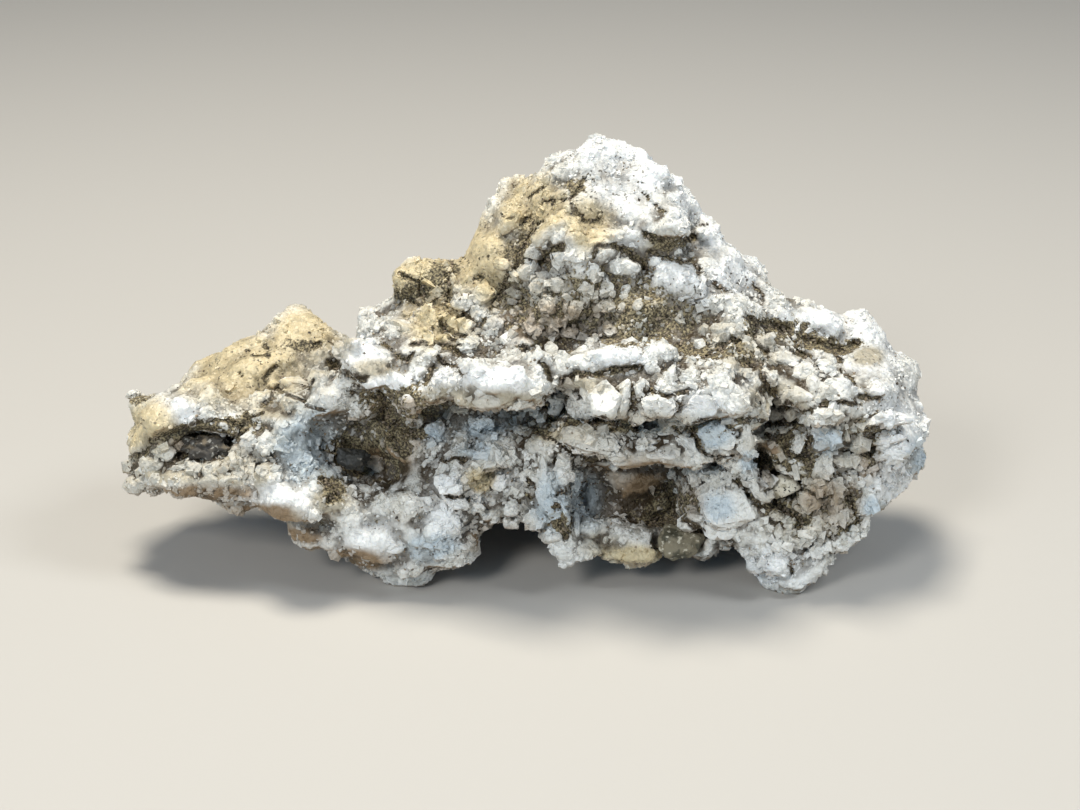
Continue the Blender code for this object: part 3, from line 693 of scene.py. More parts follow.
def near_places(points: Array, places: tuple[tuple[float, ...], ...], soft: float = 1.0) -> Array:
    """How near points lie to any of the picture places, from 0 to 1.

    Formula: the greatest of the bell curves around the places, each as wide and tall as its place.
    """
    across, down = picture_place(points)
    table = np.array(places, float)
    gap = ((across[:, None] - table[:, 0]) / table[:, 2]) ** 2
    gap = gap + ((down[:, None] - table[:, 1]) / table[:, 3]) ** 2
    return np.exp(-gap / soft).max(axis=1)


# How ragged a crevice runs, and how many half widths off it still counts.
VEIN_RAGGED_MM, VEIN_RAGGED_PX, VEIN_REACH = 0.5, 4.0, 5
# The half width that cuts to the full depth, and the least and greatest share of that depth.
VEIN_MIDDLE_PX, VEIN_DEPTHS = 3.0, (0.6, 2.0)


def in_veins(points: Array, normals: Array) -> tuple[Array, Array]:
    """How near points lie to the crevices, and how deep the crevices cut there.

    Formula: the greatest of the bell curves around every stretch of every crevice, by the
    distance to it on the photograph, on surfaces that face the camera. The nearness falls off
    over twice the crevice's half width, the depth over once, and a wide crevice cuts deeper.

    Args:
        points: the places to judge.
        normals: which way the surface faces there.

    Returns:
        The nearness from 0 to 1, and the depth as a share of a crevice's own.
    """
    shift = np.stack([soft_noise(points, VEIN_RAGGED_MM * MM, 31 + way) for way in range(2)], axis=1)
    spot = np.stack(picture_place(points), axis=1) + (shift - 0.5) * VEIN_RAGGED_PX
    near_by, deep = np.zeros(len(points)), np.zeros(len(points))
    for width, *line in VEINS:
        knots = np.array(line, float).reshape(-1, 2)
        low, high = knots.min(axis=0) - VEIN_REACH * width, knots.max(axis=0) + VEIN_REACH * width
        box = np.all((spot > low) & (spot < high), axis=1)
        near = spot[box]
        for start, end in zip(knots[:-1], knots[1:]):
            way = end - start
            share = np.clip(((near - start) @ way) / max(float(way @ way), 1e-9), 0.0, 1.0)
            gap = np.linalg.norm(near - start - share[:, None] * way, axis=1)
            near_by[box] = np.maximum(near_by[box], np.exp(-((gap / width / 2) ** 2)))
            cut = np.exp(-((gap / width) ** 2)) * np.clip(width / VEIN_MIDDLE_PX, *VEIN_DEPTHS)
            deep[box] = np.maximum(deep[box], cut)
    front = facing(points, normals)
    return near_by * front, deep * front


def sunk_in_veins(points: Array, faces: Array, depth_mm: float) -> Array:
    """Points in the crevices pushed straight back from the camera by up to the depth."""
    depth = in_veins(points, point_normals(points, faces))[1] * depth_mm * MM
    return points + unit(points - CAMERA.place) * depth[:, None]


LUMP_MIDDLE_PX = (560.0, 400.0)
# How far towards that middle a pixel off the outline looks for the lump, as shares of the way.
SHARES_INWARDS = np.linspace(0.0, 0.3, 31)


class PackedSolid:
    """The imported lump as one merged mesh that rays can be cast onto."""

    def __init__(self, names: tuple[str, ...]) -> None:
        """Merges copies of the named nodes' loose triangles.

        Args:
            names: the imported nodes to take.
        """
        shape = bmesh.new()
        for name in names:
            shape.from_mesh(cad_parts[name].data)
        bmesh.ops.remove_doubles(shape, verts=shape.verts, dist=1e-6)
        bmesh.ops.triangulate(shape, faces=shape.faces)
        self.points = np.array([vert.co for vert in shape.verts])
        shape.verts.index_update()
        self.faces = np.array([[vert.index for vert in face.verts] for face in shape.faces])
        self.tree = BVHTree.FromBMesh(shape)
        shape.free()

    def seen(self, u_px: float, v_px: float) -> tuple[Array, Array]:
        """The point and normal that the camera sees at a picture pixel.

        A pixel just off the outline takes the depth of the nearest place inwards of it.

        Args:
            u_px: across the photograph.
            v_px: down the photograph.

        Returns:
            The point and the normal there.
        """
        middle = np.array(LUMP_MIDDLE_PX)
        aim = np.array([u_px, v_px])
        start = Vector(CAMERA.place)
        for share in SHARES_INWARDS:
            place = aim + (middle - aim) * share
            hit, normal, _, distance = self.tree.ray_cast(start, Vector(CAMERA.ray(*place)))
            if hit is not None:
                ray = CAMERA.ray(u_px, v_px)
                depth = distance * float(CAMERA.ray(*place) @ CAMERA.axes[2])
                point = CAMERA.place + ray * depth / float(ray @ CAMERA.axes[2])
                return point, np.array(normal)
        raise ValueError(f"no surface near pixel {u_px}, {v_px}")


@dataclass
class Solids:
    """A growing list of closed shapes, kept as whole arrays of points and triangles."""

    points: list[Array] = field(default_factory=list)
    faces: list[Array] = field(default_factory=list)
    shades: list[Array] = field(default_factory=list)
    count: int = 0

    def add(self, points: Array, faces: Array, shade: Array | None = None) -> None:
        """Takes one more set of closed shapes, with each point's shade where it has one."""
        self.points.append(points)
        self.faces.append(faces + self.count)
        self.shades.append(np.full(len(points), 0.5) if shade is None else shade)
        self.count += len(points)

    def take(self, others: "Solids") -> None:
        """Takes everything from another list."""
        self.add(*others.joined(), np.concatenate(others.shades))

    def joined(self) -> tuple[Array, Array]:
        """Everything so far, as one pair of arrays."""
        return np.concatenate(self.points), np.concatenate(self.faces)


def cut_blocks(
    places: Array,
    turns: Array,
    halves: Array,
    chance: np.random.Generator,
    cut: Cut,
    grid: tuple[int, int],
) -> Solids:
    """Many closed blocks at once, each cut by its own chance planes.

    Formula: a ball grid whose radii are the soft least of the distances to chance planes, the
    first of them the flat top, then stretched by the half sizes, turned, and moved to its place.

    Args:
        places: the middles, one row each.
        turns: a turning matrix each.
        halves: half the size along each of the block's own axes.
        chance: the numbers to draw from.
        cut: how they are cut.
        grid: points on each ring, and rings.

    Returns:
        The blocks, each with a chance shade of its own.
    """
    ball, faces = ball_grid(*grid)
    count = len(places)
    planes = chance.normal(size=(count, cut.planes, 3))
    planes[..., 2] *= 1.0 - cut.upright
    planes[:, 0] = planes[:, 0] * cut.top_lean + (0.0, 0.0, 1.0)
    planes = unit(planes)
    reach = chance.uniform(cut.least, 1.0, (count, 1, cut.planes))
    reach[..., 0] = cut.top
    slope = np.maximum(np.einsum("pk,nck->npc", ball, planes), 1e-3)
    radius = ((reach / slope) ** (-1.0 / cut.blunt)).sum(axis=2) ** (-cut.blunt)
    radius = np.minimum(radius, cut.most)
    local = ball[None] * radius[..., None] * halves[:, None, :]
    points = np.einsum("nij,npj->npi", turns, local) + places[:, None, :]
    blocks = Solids()
    shades = np.repeat(chance.random(count), len(ball))
    blocks.add(points.reshape(-1, 3), faces_of_copies(faces, count, len(ball)), shades)
    return blocks


@dataclass
class Surface:
    """Points, triangles, edges and normals with their masks, for strewing grains on."""

    points: Array
    triangles: Array
    edges: Array
    normals: Array
    masks: dict[Stain, Array] = field(default_factory=dict)

    def scatter(
        self, chance: np.random.Generator, count: int, density: Array
    ) -> tuple[Array, Array, dict[Stain, Array]]:
        """Chance places over the triangles, more where the density is high.

        Args:
            chance: the numbers to draw from.
            count: how many places.
            density: how thickly they lie at each corner.

        Returns:
            The places, their normals, and their masks.
        """
        corner = self.points[self.triangles]
        area = np.linalg.norm(
            np.cross(corner[:, 1] - corner[:, 0], corner[:, 2] - corner[:, 0]), axis=1
        )
        weight = area * density[self.triangles].mean(axis=1)
        pick = chance.choice(len(weight), count, p=weight / weight.sum())
        share = chance.dirichlet((1.0, 1.0, 1.0), count)
        rows = self.triangles[pick]
        places = (self.points[rows] * share[..., None]).sum(axis=1)
        normals = unit((self.normals[rows] * share[..., None]).sum(axis=1))
        masks = {name: (mask[rows] * share).sum(axis=1) for name, mask in self.masks.items()}
        return places, normals, masks


def wear_masks(item: bpy.types.Object, masks: dict[Stain, Array], shade: Array, repeat: int = 1) -> None:
    """Writes the masks and the shade into the mesh as attributes.

    Args:
        item: the piece.
        masks: its masks.
        shade: how light each point or grain is among its neighbours, from 0 to 1.
        repeat: how many points share each value.
    """
    for name, mask in {**{stain.value: mask for stain, mask in masks.items()}, "shade": shade}.items():
        attribute = item.data.attributes.new(name, "FLOAT", "POINT")
        attribute.data.foreach_set("value", np.repeat(mask, repeat).astype(np.float32))


def evaluated(item: bpy.types.Object) -> tuple[Array, Array, Array]:
    """The points, triangles and edges of an object with its modifiers run, and the object removed."""
    graph = bpy.context.evaluated_depsgraph_get()
    arrays = mesh_arrays(item.evaluated_get(graph).to_mesh())
    bpy.data.objects.remove(item)
    return arrays


def one_skin(shapes: Solids, voxel_mm: float) -> Surface:
    """One closed skin over overlapping closed shapes.

    Args:
        shapes: the shapes.
        voxel_mm: how fine the skin is.

    Returns:
        The skin.
    """
    rough = make_mesh("skin_rough", *shapes.joined(), smooth=False)
    remesh = rough.modifiers.new("skin", "REMESH")
    remesh.mode = "VOXEL"
    remesh.voxel_size = voxel_mm * MM
    points, triangles, edges = evaluated(rough)
    return Surface(points, triangles, edges, point_normals(points, triangles))


# How deep a broad and a close hollow are that count in full, and how much each counts.
BROAD_MM, CLOSE_MM, BROAD_SHARE, CLOSE_SHARE = 0.50, 0.12, 0.32, 0.20


def hollows(skin: Surface, broad_rounds: int, close_rounds: int) -> Array:
    """How hollow a skin is, from 0 on a ridge to 1 in a nook.

    Formula: how far each point lies inside the mean of its near and its wider neighbours.

    Args:
        skin: the skin.
        broad_rounds: how many rings of neighbours the wider mean takes in.
        close_rounds: how many the near mean takes in.

    Returns:
        A number for each point.
    """
    broad = relaxed(skin.points, skin.edges, broad_rounds) - skin.points
    close = relaxed(skin.points, skin.edges, close_rounds) - skin.points
    hollow = (broad * skin.normals).sum(axis=1) / (BROAD_MM * MM)
    nook = (close * skin.normals).sum(axis=1) / (CLOSE_MM * MM)
    return np.clip(0.5 + BROAD_SHARE * hollow + CLOSE_SHARE * nook, 0.0, 1.0)


class Field:
    """Values kept in a box of small cells, so that any point near a skin can read them."""

    MARGIN = 6

    def __init__(self, points: Array, values: Array, cell_mm: float, rounds: int = 5) -> None:
        """Fills the cells.

        Formula: the mean of the values in each cell, and in empty cells the mean of the filled
        cells beside them, over and over.

        Args:
            points: where the values are.
            values: the values.
            cell_mm: the size of a cell.
            rounds: how far the values spread into empty cells.
        """
        self.cell = cell_mm * MM
        self.low = points.min(axis=0) - self.MARGIN * self.cell
        span = np.ceil((points.max(axis=0) - self.low) / self.cell).astype(int)
        self.shape = tuple(span + self.MARGIN + 1)
        index = np.ravel_multi_index(np.floor((points - self.low) / self.cell).astype(int).T, self.shape)
        cells = math.prod(self.shape)
        total = np.bincount(index, values, cells).reshape(self.shape)
        count = np.bincount(index, minlength=cells).reshape(self.shape).astype(float)
        for _ in range(rounds):
            near_total, near_count = total.copy(), count.copy()
            for axis in range(3):
                for step in (-1, 1):
                    near_total += np.roll(total, step, axis)
                    near_count += np.roll(count, step, axis)
            empty, reached = count < 0.5, near_count > 0.5
            mean = near_total / np.maximum(near_count, 1.0)
            total = np.where(empty, np.where(reached, mean, 0.0), total)
            count = np.where(empty, reached.astype(float), count)
        self.values = total / np.maximum(count, 1.0)

    def read(self, points: Array) -> Array:
        """The values at points, blended between the eight cells around each."""
        last = np.array(self.shape) - 1
        scaled = np.clip((points - self.low) / self.cell - 0.5, 0.0, last - 0.001)
        base = np.floor(scaled).astype(int)
        total = np.zeros(len(points))
        for step, share in corner_shares(scaled - base):
            total += share * self.values[tuple(np.minimum(base + step, last).T)]
        return total


# The cosines between which a surface comes to face the camera.
SEEN_FROM, SEEN_BY = -0.35, 0.1


def facing(points: Array, normals: Array, beyond: float = 0.0) -> Array:
    """1 where a surface faces the photograph's camera, 0 where it faces away by more than beyond."""
    towards = (unit(CAMERA.place - points) * normals).sum(axis=1)
    return smooth_step(SEEN_FROM - beyond, SEEN_BY - beyond, towards)


# The chance patches on what the camera can't see: their breadth, the noise that starts one, how strong.
PATCH_MM, PATCH_FROM, PATCH_SHARE = 7.0, (0.50, 0.75), 0.55
# The noise that makes a stain ragged: its breadth, the least it leaves of a stain, and its swing.
RAGGED_MM, RAGGED_LEAST, RAGGED_SWING = 2.2, 0.45, 1.1
# The brown painted bounce light below: how far down a surface faces where it starts, and its own noise in
# the same way.
BELOW_FROM, BELOW_MM, BELOW_LEAST, BELOW_SWING = (0.30, 0.95), 3.0, 0.4, 0.8


def stain_masks(points: Array, normals: Array) -> dict[Stain, Array]:
    """Where gypsum is cream, dirty, dusted (in places painted shade), cool (painted shade), brown (partly
    painted bounce light), snowy, flecked and cracked.

    Formula: the nearness of the picture places, faded to chance patches on what faces away from the
    camera, with brown painted bounce light on what faces down, and the nearness of the crevices.

    Args:
        points: the places to judge.
        normals: which way the surface faces there.

    Returns:
        A mask from 0 to 1 for each stain but the hollows.
    """
    front = facing(points, normals)
    masks = {}
    for number, (name, places) in enumerate(STAIN_PLACES.items()):
        patches = smooth_step(*PATCH_FROM, layered_noise(points, PATCH_MM * MM, 60 + number * 5))
        ragged = RAGGED_LEAST + RAGGED_SWING * layered_noise(points, RAGGED_MM * MM, 80 + number)
        mask = near_places(points, places) * ragged * front + patches * PATCH_SHARE * (1.0 - front)
        masks[name] = np.clip(mask, 0.0, 1.0)
    # Painted warm bounce light on what faces down, carried in the brown mask.
    below = BELOW_LEAST + BELOW_SWING * layered_noise(points, BELOW_MM * MM, 99)
    below = smooth_step(*BELOW_FROM, -normals[:, 2]) * below
    masks[Stain.BROWN] = np.clip(np.maximum(masks[Stain.BROWN], below), 0.0, 1.0)
    masks[Stain.VEIN] = in_veins(points, normals)[0]
    return masks


@dataclass
class Crust:
    """The ground of the lump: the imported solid, its melted lumps, one skin over all, and relief.

    Each row of breaks is the breadth and the height of broken faces in millimetres, and how much
    less of them the smooth places have. Above the table they rise between the heights of rising_mm.
    """

    voxel_mm: float = 0.22
    most_triangles: int = 170000
    set_back: float = 0.82
    breaks: tuple[tuple[float, float, float], ...] = (
        (1.5, 0.14, 0.85), (0.75, 0.12, 0.70), (0.42, 0.06, 0.30),
    )
    vein_mm: float = 0.55
    sole_mm: float = 0.12
    rising_mm: tuple[float, float] = (0.1, 0.7)

    def relief(self, skin: Surface) -> Surface:
        """Swells the skin into lumps of three sizes, less on the smooth places and none on the soles.

        Formula: out along the normal by each size's height times its broken faces, warped a
        little so that no crack runs straight.

        Args:
            skin: the plain skin.

        Returns:
            The rugged skin, thinned where it is flat so that it keeps to its triangles.
        """
        points = skin.points
        low, high = self.rising_mm
        keep = smooth_step(low * MM, high * MM, points[:, 2])
        keep = keep * (1.0 - near_places(points, STONE_PLACES))
        calm = near_places(points, SMOOTH_PLACES)
        swell = np.zeros(len(points))
        for number, (size, height, less) in enumerate(self.breaks):
            warp = (layered_noise(points, size * 2 * MM, 40 + number)[:, None] - 0.5) * size * MM
            swell += height * broken_faces(points + warp, size * MM, 11 + number * 20) * (1 - less * calm)
        moved = points + skin.normals * (swell * keep * MM)[:, None]
        moved = sunk_in_veins(moved, skin.triangles, self.vein_mm)
        moved[:, 2] = np.where(points[:, 2] < self.sole_mm * MM, points[:, 2], moved[:, 2])
        moved[:, 2] = np.maximum(moved[:, 2], 0.0)
        rugged = make_mesh("crust_rugged", moved, skin.triangles, smooth=False)
        thin = rugged.modifiers.new("thin", "DECIMATE")
        thin.ratio = min(1.0, self.most_triangles / len(skin.triangles))
        points, triangles, edges = evaluated(rugged)
        return Surface(points, triangles, edges, point_normals(points, triangles))

    def grow(self, solid: PackedSolid, lumps: Solids) -> Surface:
        """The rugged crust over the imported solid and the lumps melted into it."""
        shapes = Solids()
        shapes.add(solid.points, solid.faces)
        shapes.add(*lumps.joined())
        return self.relief(one_skin(shapes, self.voxel_mm))


# How high the middle of a lump or grain is kept, for its size, so that it clears the floor.
CLEAR_OF_FLOOR = 0.62


@dataclass(frozen=True)
class Filler:
    """The small lumps that cover the crust, most of all behind: how many, how big and where.

    They are finer in front and in the blocky places. anywhere, in_blocky and behind are how
    thickly they lie, and off_smooth how far they keep off the smooth places, rim included.
    """

    count: int = 2300
    size_mm: tuple[float, float] = (0.55, 2.0)
    small_bias: float = 1.5
    halves: tuple[tuple[float, ...], ...] = ((0.42, 0.32, 0.34), (0.66, 0.52, 0.56))
    finer_in_front: float = 0.36
    finer_in_blocky: float = 0.20
    lean: float = 0.6
    sunk: float = 0.25
    knobs_mm: float = 0.04
    grid: tuple[int, int] = (7, 3)
    cut: Cut = Cut(7, 0.03, 0.4, 0.72)
    anywhere: float = 0.14
    in_blocky: float = 2.2
    behind: float = 0.45
    off_smooth: float = 0.97
    rim: float = 0.4
    sole_mm: float = 0.3

    def density(self, base: Surface) -> Array:
        """How thickly the lumps lie at each point of the surface."""
        front = facing(base.points, base.normals)
        rim = facing(base.points, base.normals, self.rim)
        blocky = near_places(base.points, BLOCKY_PLACES)
        crowd = self.anywhere + self.in_blocky * blocky * front + self.behind * (1.0 - front)
        density = crowd * (1.0 - self.off_smooth * near_places(base.points, SMOOTH_PLACES) * rim)
        density = density * (1.0 - near_places(base.points, STONE_PLACES) * front)
        return np.where(base.points[:, 2] > self.sole_mm * MM, density, 0.0)

    def strewn(self, base: Surface, chance: np.random.Generator) -> Solids:
        """The lumps on the surface, without knobs.

        Args:
            base: the surface to strew them on.
            chance: the numbers to draw from.

        Returns:
            The lumps.
        """
        places, normals, _ = base.scatter(chance, self.count, self.density(base))
        low, high = self.size_mm
        size = low + (high - low) * chance.random(self.count) ** self.small_bias
        finer = self.finer_in_front + self.finer_in_blocky * near_places(places, BLOCKY_PLACES)
        size = size * (1.0 - facing(places, normals) * finer) * MM
        halves = size[:, None] * chance.uniform(*self.halves, (len(size), 3))
        turns = turns_on(normals, chance, self.lean)
        middle = places - normals * (halves[:, 2:] * self.sunk)
        middle[:, 2] = np.maximum(middle[:, 2], size * CLEAR_OF_FLOOR)
        return cut_blocks(middle, turns, halves, chance, self.cut, self.grid)


@dataclass
class GrownLumps:
    """The lumps and crystals that stand on the crust: those read from the picture, and filler."""

    filler: Filler = Filler()
    grid: tuple[int, int] = (16, 9)
    big_grid: tuple[int, int] = (36, 22)
    big_mm: float = 1.15
    knob_size_mm: float = 0.80
    vein_mm: float = 0.60
    half_share: float = 0.56
    bud_shift: tuple[tuple[float, ...], ...] = ((-0.62, -0.62, 0.05), (0.62, 0.62, 0.50))
    bud_share: tuple[float, float] = (0.40, 0.68)
    bud_lean: float = 0.45
    seed: int = 5

    def read(self, solid: PackedSolid, kind: Kind, share: float = 1.0) -> Solids:
        """Lumps of one kind at their places in the photograph.

        Args:
            solid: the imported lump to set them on.
            kind: their kind.
            share: their size against the real size.

        Returns:
            The lumps, the big ones finer than the small ones.
        """
        growth = GROWTHS[kind]
        right, up, _ = CAMERA.axes
        places, turns, halves = [], [], []
        for u_px, v_px, w_px, h_px, *lean in GROWN[kind]:
            point, normal = solid.seen(u_px, v_px)
            tilt = math.radians(lean[0] if lean else 0.0)
            out = -CAMERA.ray(u_px, v_px) * (1 - growth.follow) + normal * growth.follow
            out = out / np.linalg.norm(out)
            side = right * math.cos(tilt) - up * math.sin(tilt)
            side = side - out * (side @ out)
            side = side / np.linalg.norm(side)
            scale = CAMERA.pixel_size(point)
            size = np.array([w_px, h_px, growth.depth * math.sqrt(w_px * h_px)])
            half = size * scale * self.half_share
            places.append(point - out * half[2] * (1.0 - 2.0 * growth.proud))
            turns.append(np.stack([side, np.cross(out, side), out], axis=1))
            halves.append(half * share)
        chance = np.random.default_rng(self.seed + len(places))
        places, turns, halves = self.budded(
            np.array(places), np.array(turns), np.array(halves), growth.buds, chance
        )
        big = np.sqrt(halves[:, 0] * halves[:, 1]) > self.big_mm * MM
        lumps = Solids()
        for which, grid in ((big, self.big_grid), (~big, self.grid)):
            lumps.take(cut_blocks(places[which], turns[which], halves[which], chance, growth.cut, grid))
        return lumps

    def budded(
        self, places: Array, turns: Array, halves: Array, buds: int, chance: np.random.Generator
    ) -> tuple[Array, Array, Array]:
        """Lumps with smaller buds grown out of each.

        Formula: each bud is 0.4 to 0.7 of its lump, moved across it by up to 0.6 of the half size
        and out by up to half of it, and turned a little further.

        Args:
            places: the lumps' middles.
            turns: their turning matrices.
            halves: their half sizes.
            buds: how many buds each has.
            chance: the numbers to draw from.

        Returns:
            The places, turns and half sizes of the lumps and of all their buds.
        """
        count = len(places) * buds
        shift = chance.uniform(*self.bud_shift, (count, 3))
        lumps = np.repeat(places, buds, axis=0), np.repeat(turns, buds, axis=0)
        big = np.repeat(halves, buds, axis=0)
        moved = lumps[0] + np.einsum("nij,nj->ni", lumps[1], shift * big)
        axes = turns_on(np.tile((0.0, 0.0, 1.0), (count, 1)), chance, self.bud_lean)
        size = np.sqrt(big * np.cbrt(big.prod(axis=1))[:, None])
        size = size * chance.uniform(*self.bud_share, (count, 1))
        return (
            np.concatenate([places, moved]),
            np.concatenate([turns, np.einsum("nij,njk->nik", lumps[1], axes)]),
            np.concatenate([halves, size]),
        )

    def knobbed(self, lumps: Solids, height_mm: float) -> Solids:
        """The same lumps, broken into small knobs and sunk where crevices cross them.

        Formula: out along the normal by the height times the broken faces of the knob size.

        Args:
            lumps: the plain lumps.
            height_mm: how high the knobs are.

        Returns:
            The knobbed lumps.
        """
        points, faces = lumps.joined()
        swell = height_mm * broken_faces(points, self.knob_size_mm * MM, 71)
        swollen = Solids()
        moved = points + point_normals(points, faces) * (swell * MM)[:, None]
        moved = sunk_in_veins(moved, faces, self.vein_mm)
        swollen.add(moved, faces, np.concatenate(lumps.shades))
        return swollen

    def filled(self, base: Surface) -> Solids:
        """Smaller lumps all over, so that the sides and back are grown like the front.

        Args:
            base: the surface to strew them on.

        Returns:
            The lumps, with their knobs.
        """
        chance = np.random.default_rng(self.seed)
        return self.knobbed(self.filler.strewn(base, chance), self.filler.knobs_mm)

    def melted(self, solid: PackedSolid, share: float) -> Solids:
        """The read swellings, and the blobs set back, for the crust's own skin to run over."""
        shapes = self.read(solid, Kind.SWELL)
        shapes.take(self.read(solid, Kind.BLOB, share))
        return shapes

    def stood(self, solid: PackedSolid, kinds: tuple[Kind, ...]) -> Solids:
        """The read lumps of these kinds at their full size, with their knobs."""
        shapes = Solids()
        for kind in kinds:
            shapes.take(self.knobbed(self.read(solid, kind), GROWTHS[kind].knobs_mm))
        return shapes


# How far the faces of each piece may turn before the edge between them is crisp.
CRISP_DEG = {"gypsum_crust": 60.0, "melted_lumps": 50.0, "grown_crystals": 28.0, "filler_lumps": 28.0}


@dataclass
class Lump:
    """The whole gypsum: its crust, its grown lumps, and the masks that all of its pieces share."""

    crust: Crust = field(default_factory=Crust)
    lumps: GrownLumps = field(default_factory=GrownLumps)
    outer_voxel_mm: float = 0.30
    field_cell_mm: float = 0.36
    patch_mm: float = 1.3
    hollow_rounds: tuple[int, int] = (20, 4)

    def dress(
        self,
        name: str,
        points: Array,
        faces: Array,
        shade: Array,
        hollow: Field,
        finish: "GypsumFinish",
    ) -> bpy.types.Object:
        """Makes one piece with its masks and its finish.

        Args:
            name: the piece's name.
            points: its points.
            faces: its triangles.
            shade: how light each point is among its neighbours.
            hollow: how hollow the whole lump is, place by place.
            finish: what it is dressed in.

        Returns:
            The piece.
        """
        masks = stain_masks(points, point_normals(points, faces))
        masks[Stain.HOLLOW] = hollow.read(points)
        piece = make_mesh(name, points, faces, smooth=True, crisp_deg=CRISP_DEG[name])
        wear_masks(piece, masks, shade)
        piece.data.materials.append(finish.build(name + "_finish"))
        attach(piece, "root")
        LOG.info("%s: %d triangles", name, len(faces))
        return piece

    def build(
        self,
        solid: PackedSolid,
        ground: "GypsumFinish",
        finish: "GypsumFinish",
        clean: "GypsumFinish",
    ) -> Surface:
        """Makes the crust and the lumps on it.

        Args:
            solid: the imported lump.
            ground: what the crust is dressed in.
            finish: what the read lumps are dressed in.
            clean: what the filler is dressed in.

        Returns:
            The outermost skin over all of them, to strew grains on.
        """
        crust = self.crust.grow(solid, self.lumps.melted(solid, self.crust.set_back))
        solids_by_name = {
            "melted_lumps": self.lumps.stood(solid, (Kind.BLOB,)),
            "grown_crystals": self.lumps.stood(solid, (Kind.BLOCK, Kind.BLADE, Kind.PLATE)),
            "filler_lumps": self.lumps.filled(crust),
        }
        shapes = Solids()
        shapes.add(crust.points, crust.triangles)
        patches = cell_noise(crust.points, self.patch_mm * MM, 25).number
        pieces = {"gypsum_crust": (crust.points, crust.triangles, patches)}
        for name, solids in solids_by_name.items():
            points, faces = solids.joined()
            points[:, 2] = np.maximum(points[:, 2], 0.0)
            shapes.add(points, faces)
            pieces[name] = (points, faces, np.concatenate(solids.shades))
        outer = one_skin(shapes, self.outer_voxel_mm)
        outer.masks = stain_masks(outer.points, outer.normals)
        outer.masks[Stain.HOLLOW] = hollows(outer, *self.hollow_rounds)
        hollow = Field(outer.points, outer.masks[Stain.HOLLOW], self.field_cell_mm)
        looks = {"gypsum_crust": ground, "filler_lumps": clean}
        for name, arrays in pieces.items():
            piece = self.dress(name, *arrays, hollow, looks.get(name, finish))
            if name == "gypsum_crust":
                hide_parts("gypsum_mass")
        return outer


class NodeDesk:
    """Places and joins the nodes of one material or one group."""

    def __init__(self, tree: bpy.types.NodeTree) -> None:
        """Starts on an existing tree."""
        self.tree = tree

    def add(self, kind: str, inputs: dict | None = None, **settings: object) -> bpy.types.Node:
        """Adds a node.

        Args:
            kind: Blender's name for the node.
            inputs: the sockets to fill, each with a value or with another node's output.
            settings: the node's own settings.

        Returns:
            The node.
        """
        node = self.tree.nodes.new(kind)
        for name, value in settings.items():
            setattr(node, name, value)
        for name, value in (inputs or {}).items():
            if isinstance(value, bpy.types.NodeSocket):
                self.tree.links.new(value, node.inputs[name])
            else:
                node.inputs[name].default_value = value
        return node

    def maths(self, operation: str, first: object, second: object) -> bpy.types.NodeSocket:
        """One sum on values."""
        return self.add("ShaderNodeMath", {0: first, 1: second}, operation=operation).outputs[0]

    def plus(self, first: object, second: object) -> bpy.types.NodeSocket:
        """The sum of two values."""
        return self.maths("ADD", first, second)

    def less(self, first: object, second: object) -> bpy.types.NodeSocket:
        """The first value less the second."""
        return self.maths("SUBTRACT", first, second)

    def times(self, first: object, second: object) -> bpy.types.NodeSocket:
        """The product of two values."""
        return self.maths("MULTIPLY", first, second)

    def larger(self, first: object, second: object) -> bpy.types.NodeSocket:
        """The larger of two values."""
        return self.maths("MAXIMUM", first, second)

    def swing(self, value: object, share: float) -> bpy.types.NodeSocket:
        """A noise's swing about its middle, times a share."""
        return self.times(self.less(value, 0.5), share)

    def mix(self, share: object, first: object, second: object) -> bpy.types.NodeSocket:
        """A mix of two colours."""
        node = self.add("ShaderNodeMix", {0: share, 6: first, 7: second}, data_type="RGBA")
        return node.outputs[2]

    def ramp(self, value: object, low: float, high: float) -> bpy.types.NodeSocket:
        """0 below low, 1 above high, soft between."""
        inputs = {"Value": value, "From Min": low, "From Max": high}
        node = self.add("ShaderNodeMapRange", inputs, interpolation_type="SMOOTHSTEP")
        return node.outputs["Result"]

    def worn(self, name: str) -> bpy.types.NodeSocket:
        """A value that the mesh wears as an attribute."""
        return self.add("ShaderNodeAttribute", attribute_name=name).outputs["Fac"]

    def mask(self, stain: Stain) -> bpy.types.NodeSocket:
        """One of the surface's masks."""
        return self.worn(stain.value)

    def place(self) -> bpy.types.NodeSocket:
        """A point's place in the object's own space."""
        return self.add("ShaderNodeTexCoord").outputs["Object"]

    def vectors(self, operation: str, first: object, second: object) -> bpy.types.Node:
        """One sum on vectors."""
        return self.add("ShaderNodeVectorMath", {0: first, 1: second}, operation=operation)

    def surface(self, inputs: dict) -> None:
        """Ends a material with one Principled shader."""
        shader = self.add("ShaderNodeBsdfPrincipled", inputs)
        self.add("ShaderNodeOutputMaterial", {"Surface": shader.outputs[0]})

    def noise(self, size_mm: float, detail: float = 3.0) -> bpy.types.NodeSocket:
        """Noise from 0 to 1 in the object's own space."""
        inputs = {"Vector": self.place(), "Scale": 1.0 / (size_mm * MM), "Detail": detail}
        return self.add("ShaderNodeTexNoise", inputs).outputs["Fac"]

    def facets(self, size_mm: float) -> bpy.types.NodeSocket:
        """Small tilted crystal faces in the object's own space.

        Formula: how far a point lies from its cell's seed along that cell's own chance direction.
        """
        scale = 1.0 / (size_mm * MM)
        where = self.place()
        cell = self.add("ShaderNodeTexVoronoi", {"Vector": where, "Scale": scale})
        offset = self.vectors("SUBTRACT", where, cell.outputs["Position"])
        lean = self.vectors("SUBTRACT", cell.outputs["Color"], (0.5, 0.5, 0.5))
        tilt = self.vectors("DOT_PRODUCT", offset.outputs[0], lean.outputs[0])
        return self.times(tilt.outputs["Value"], scale * 2.0)


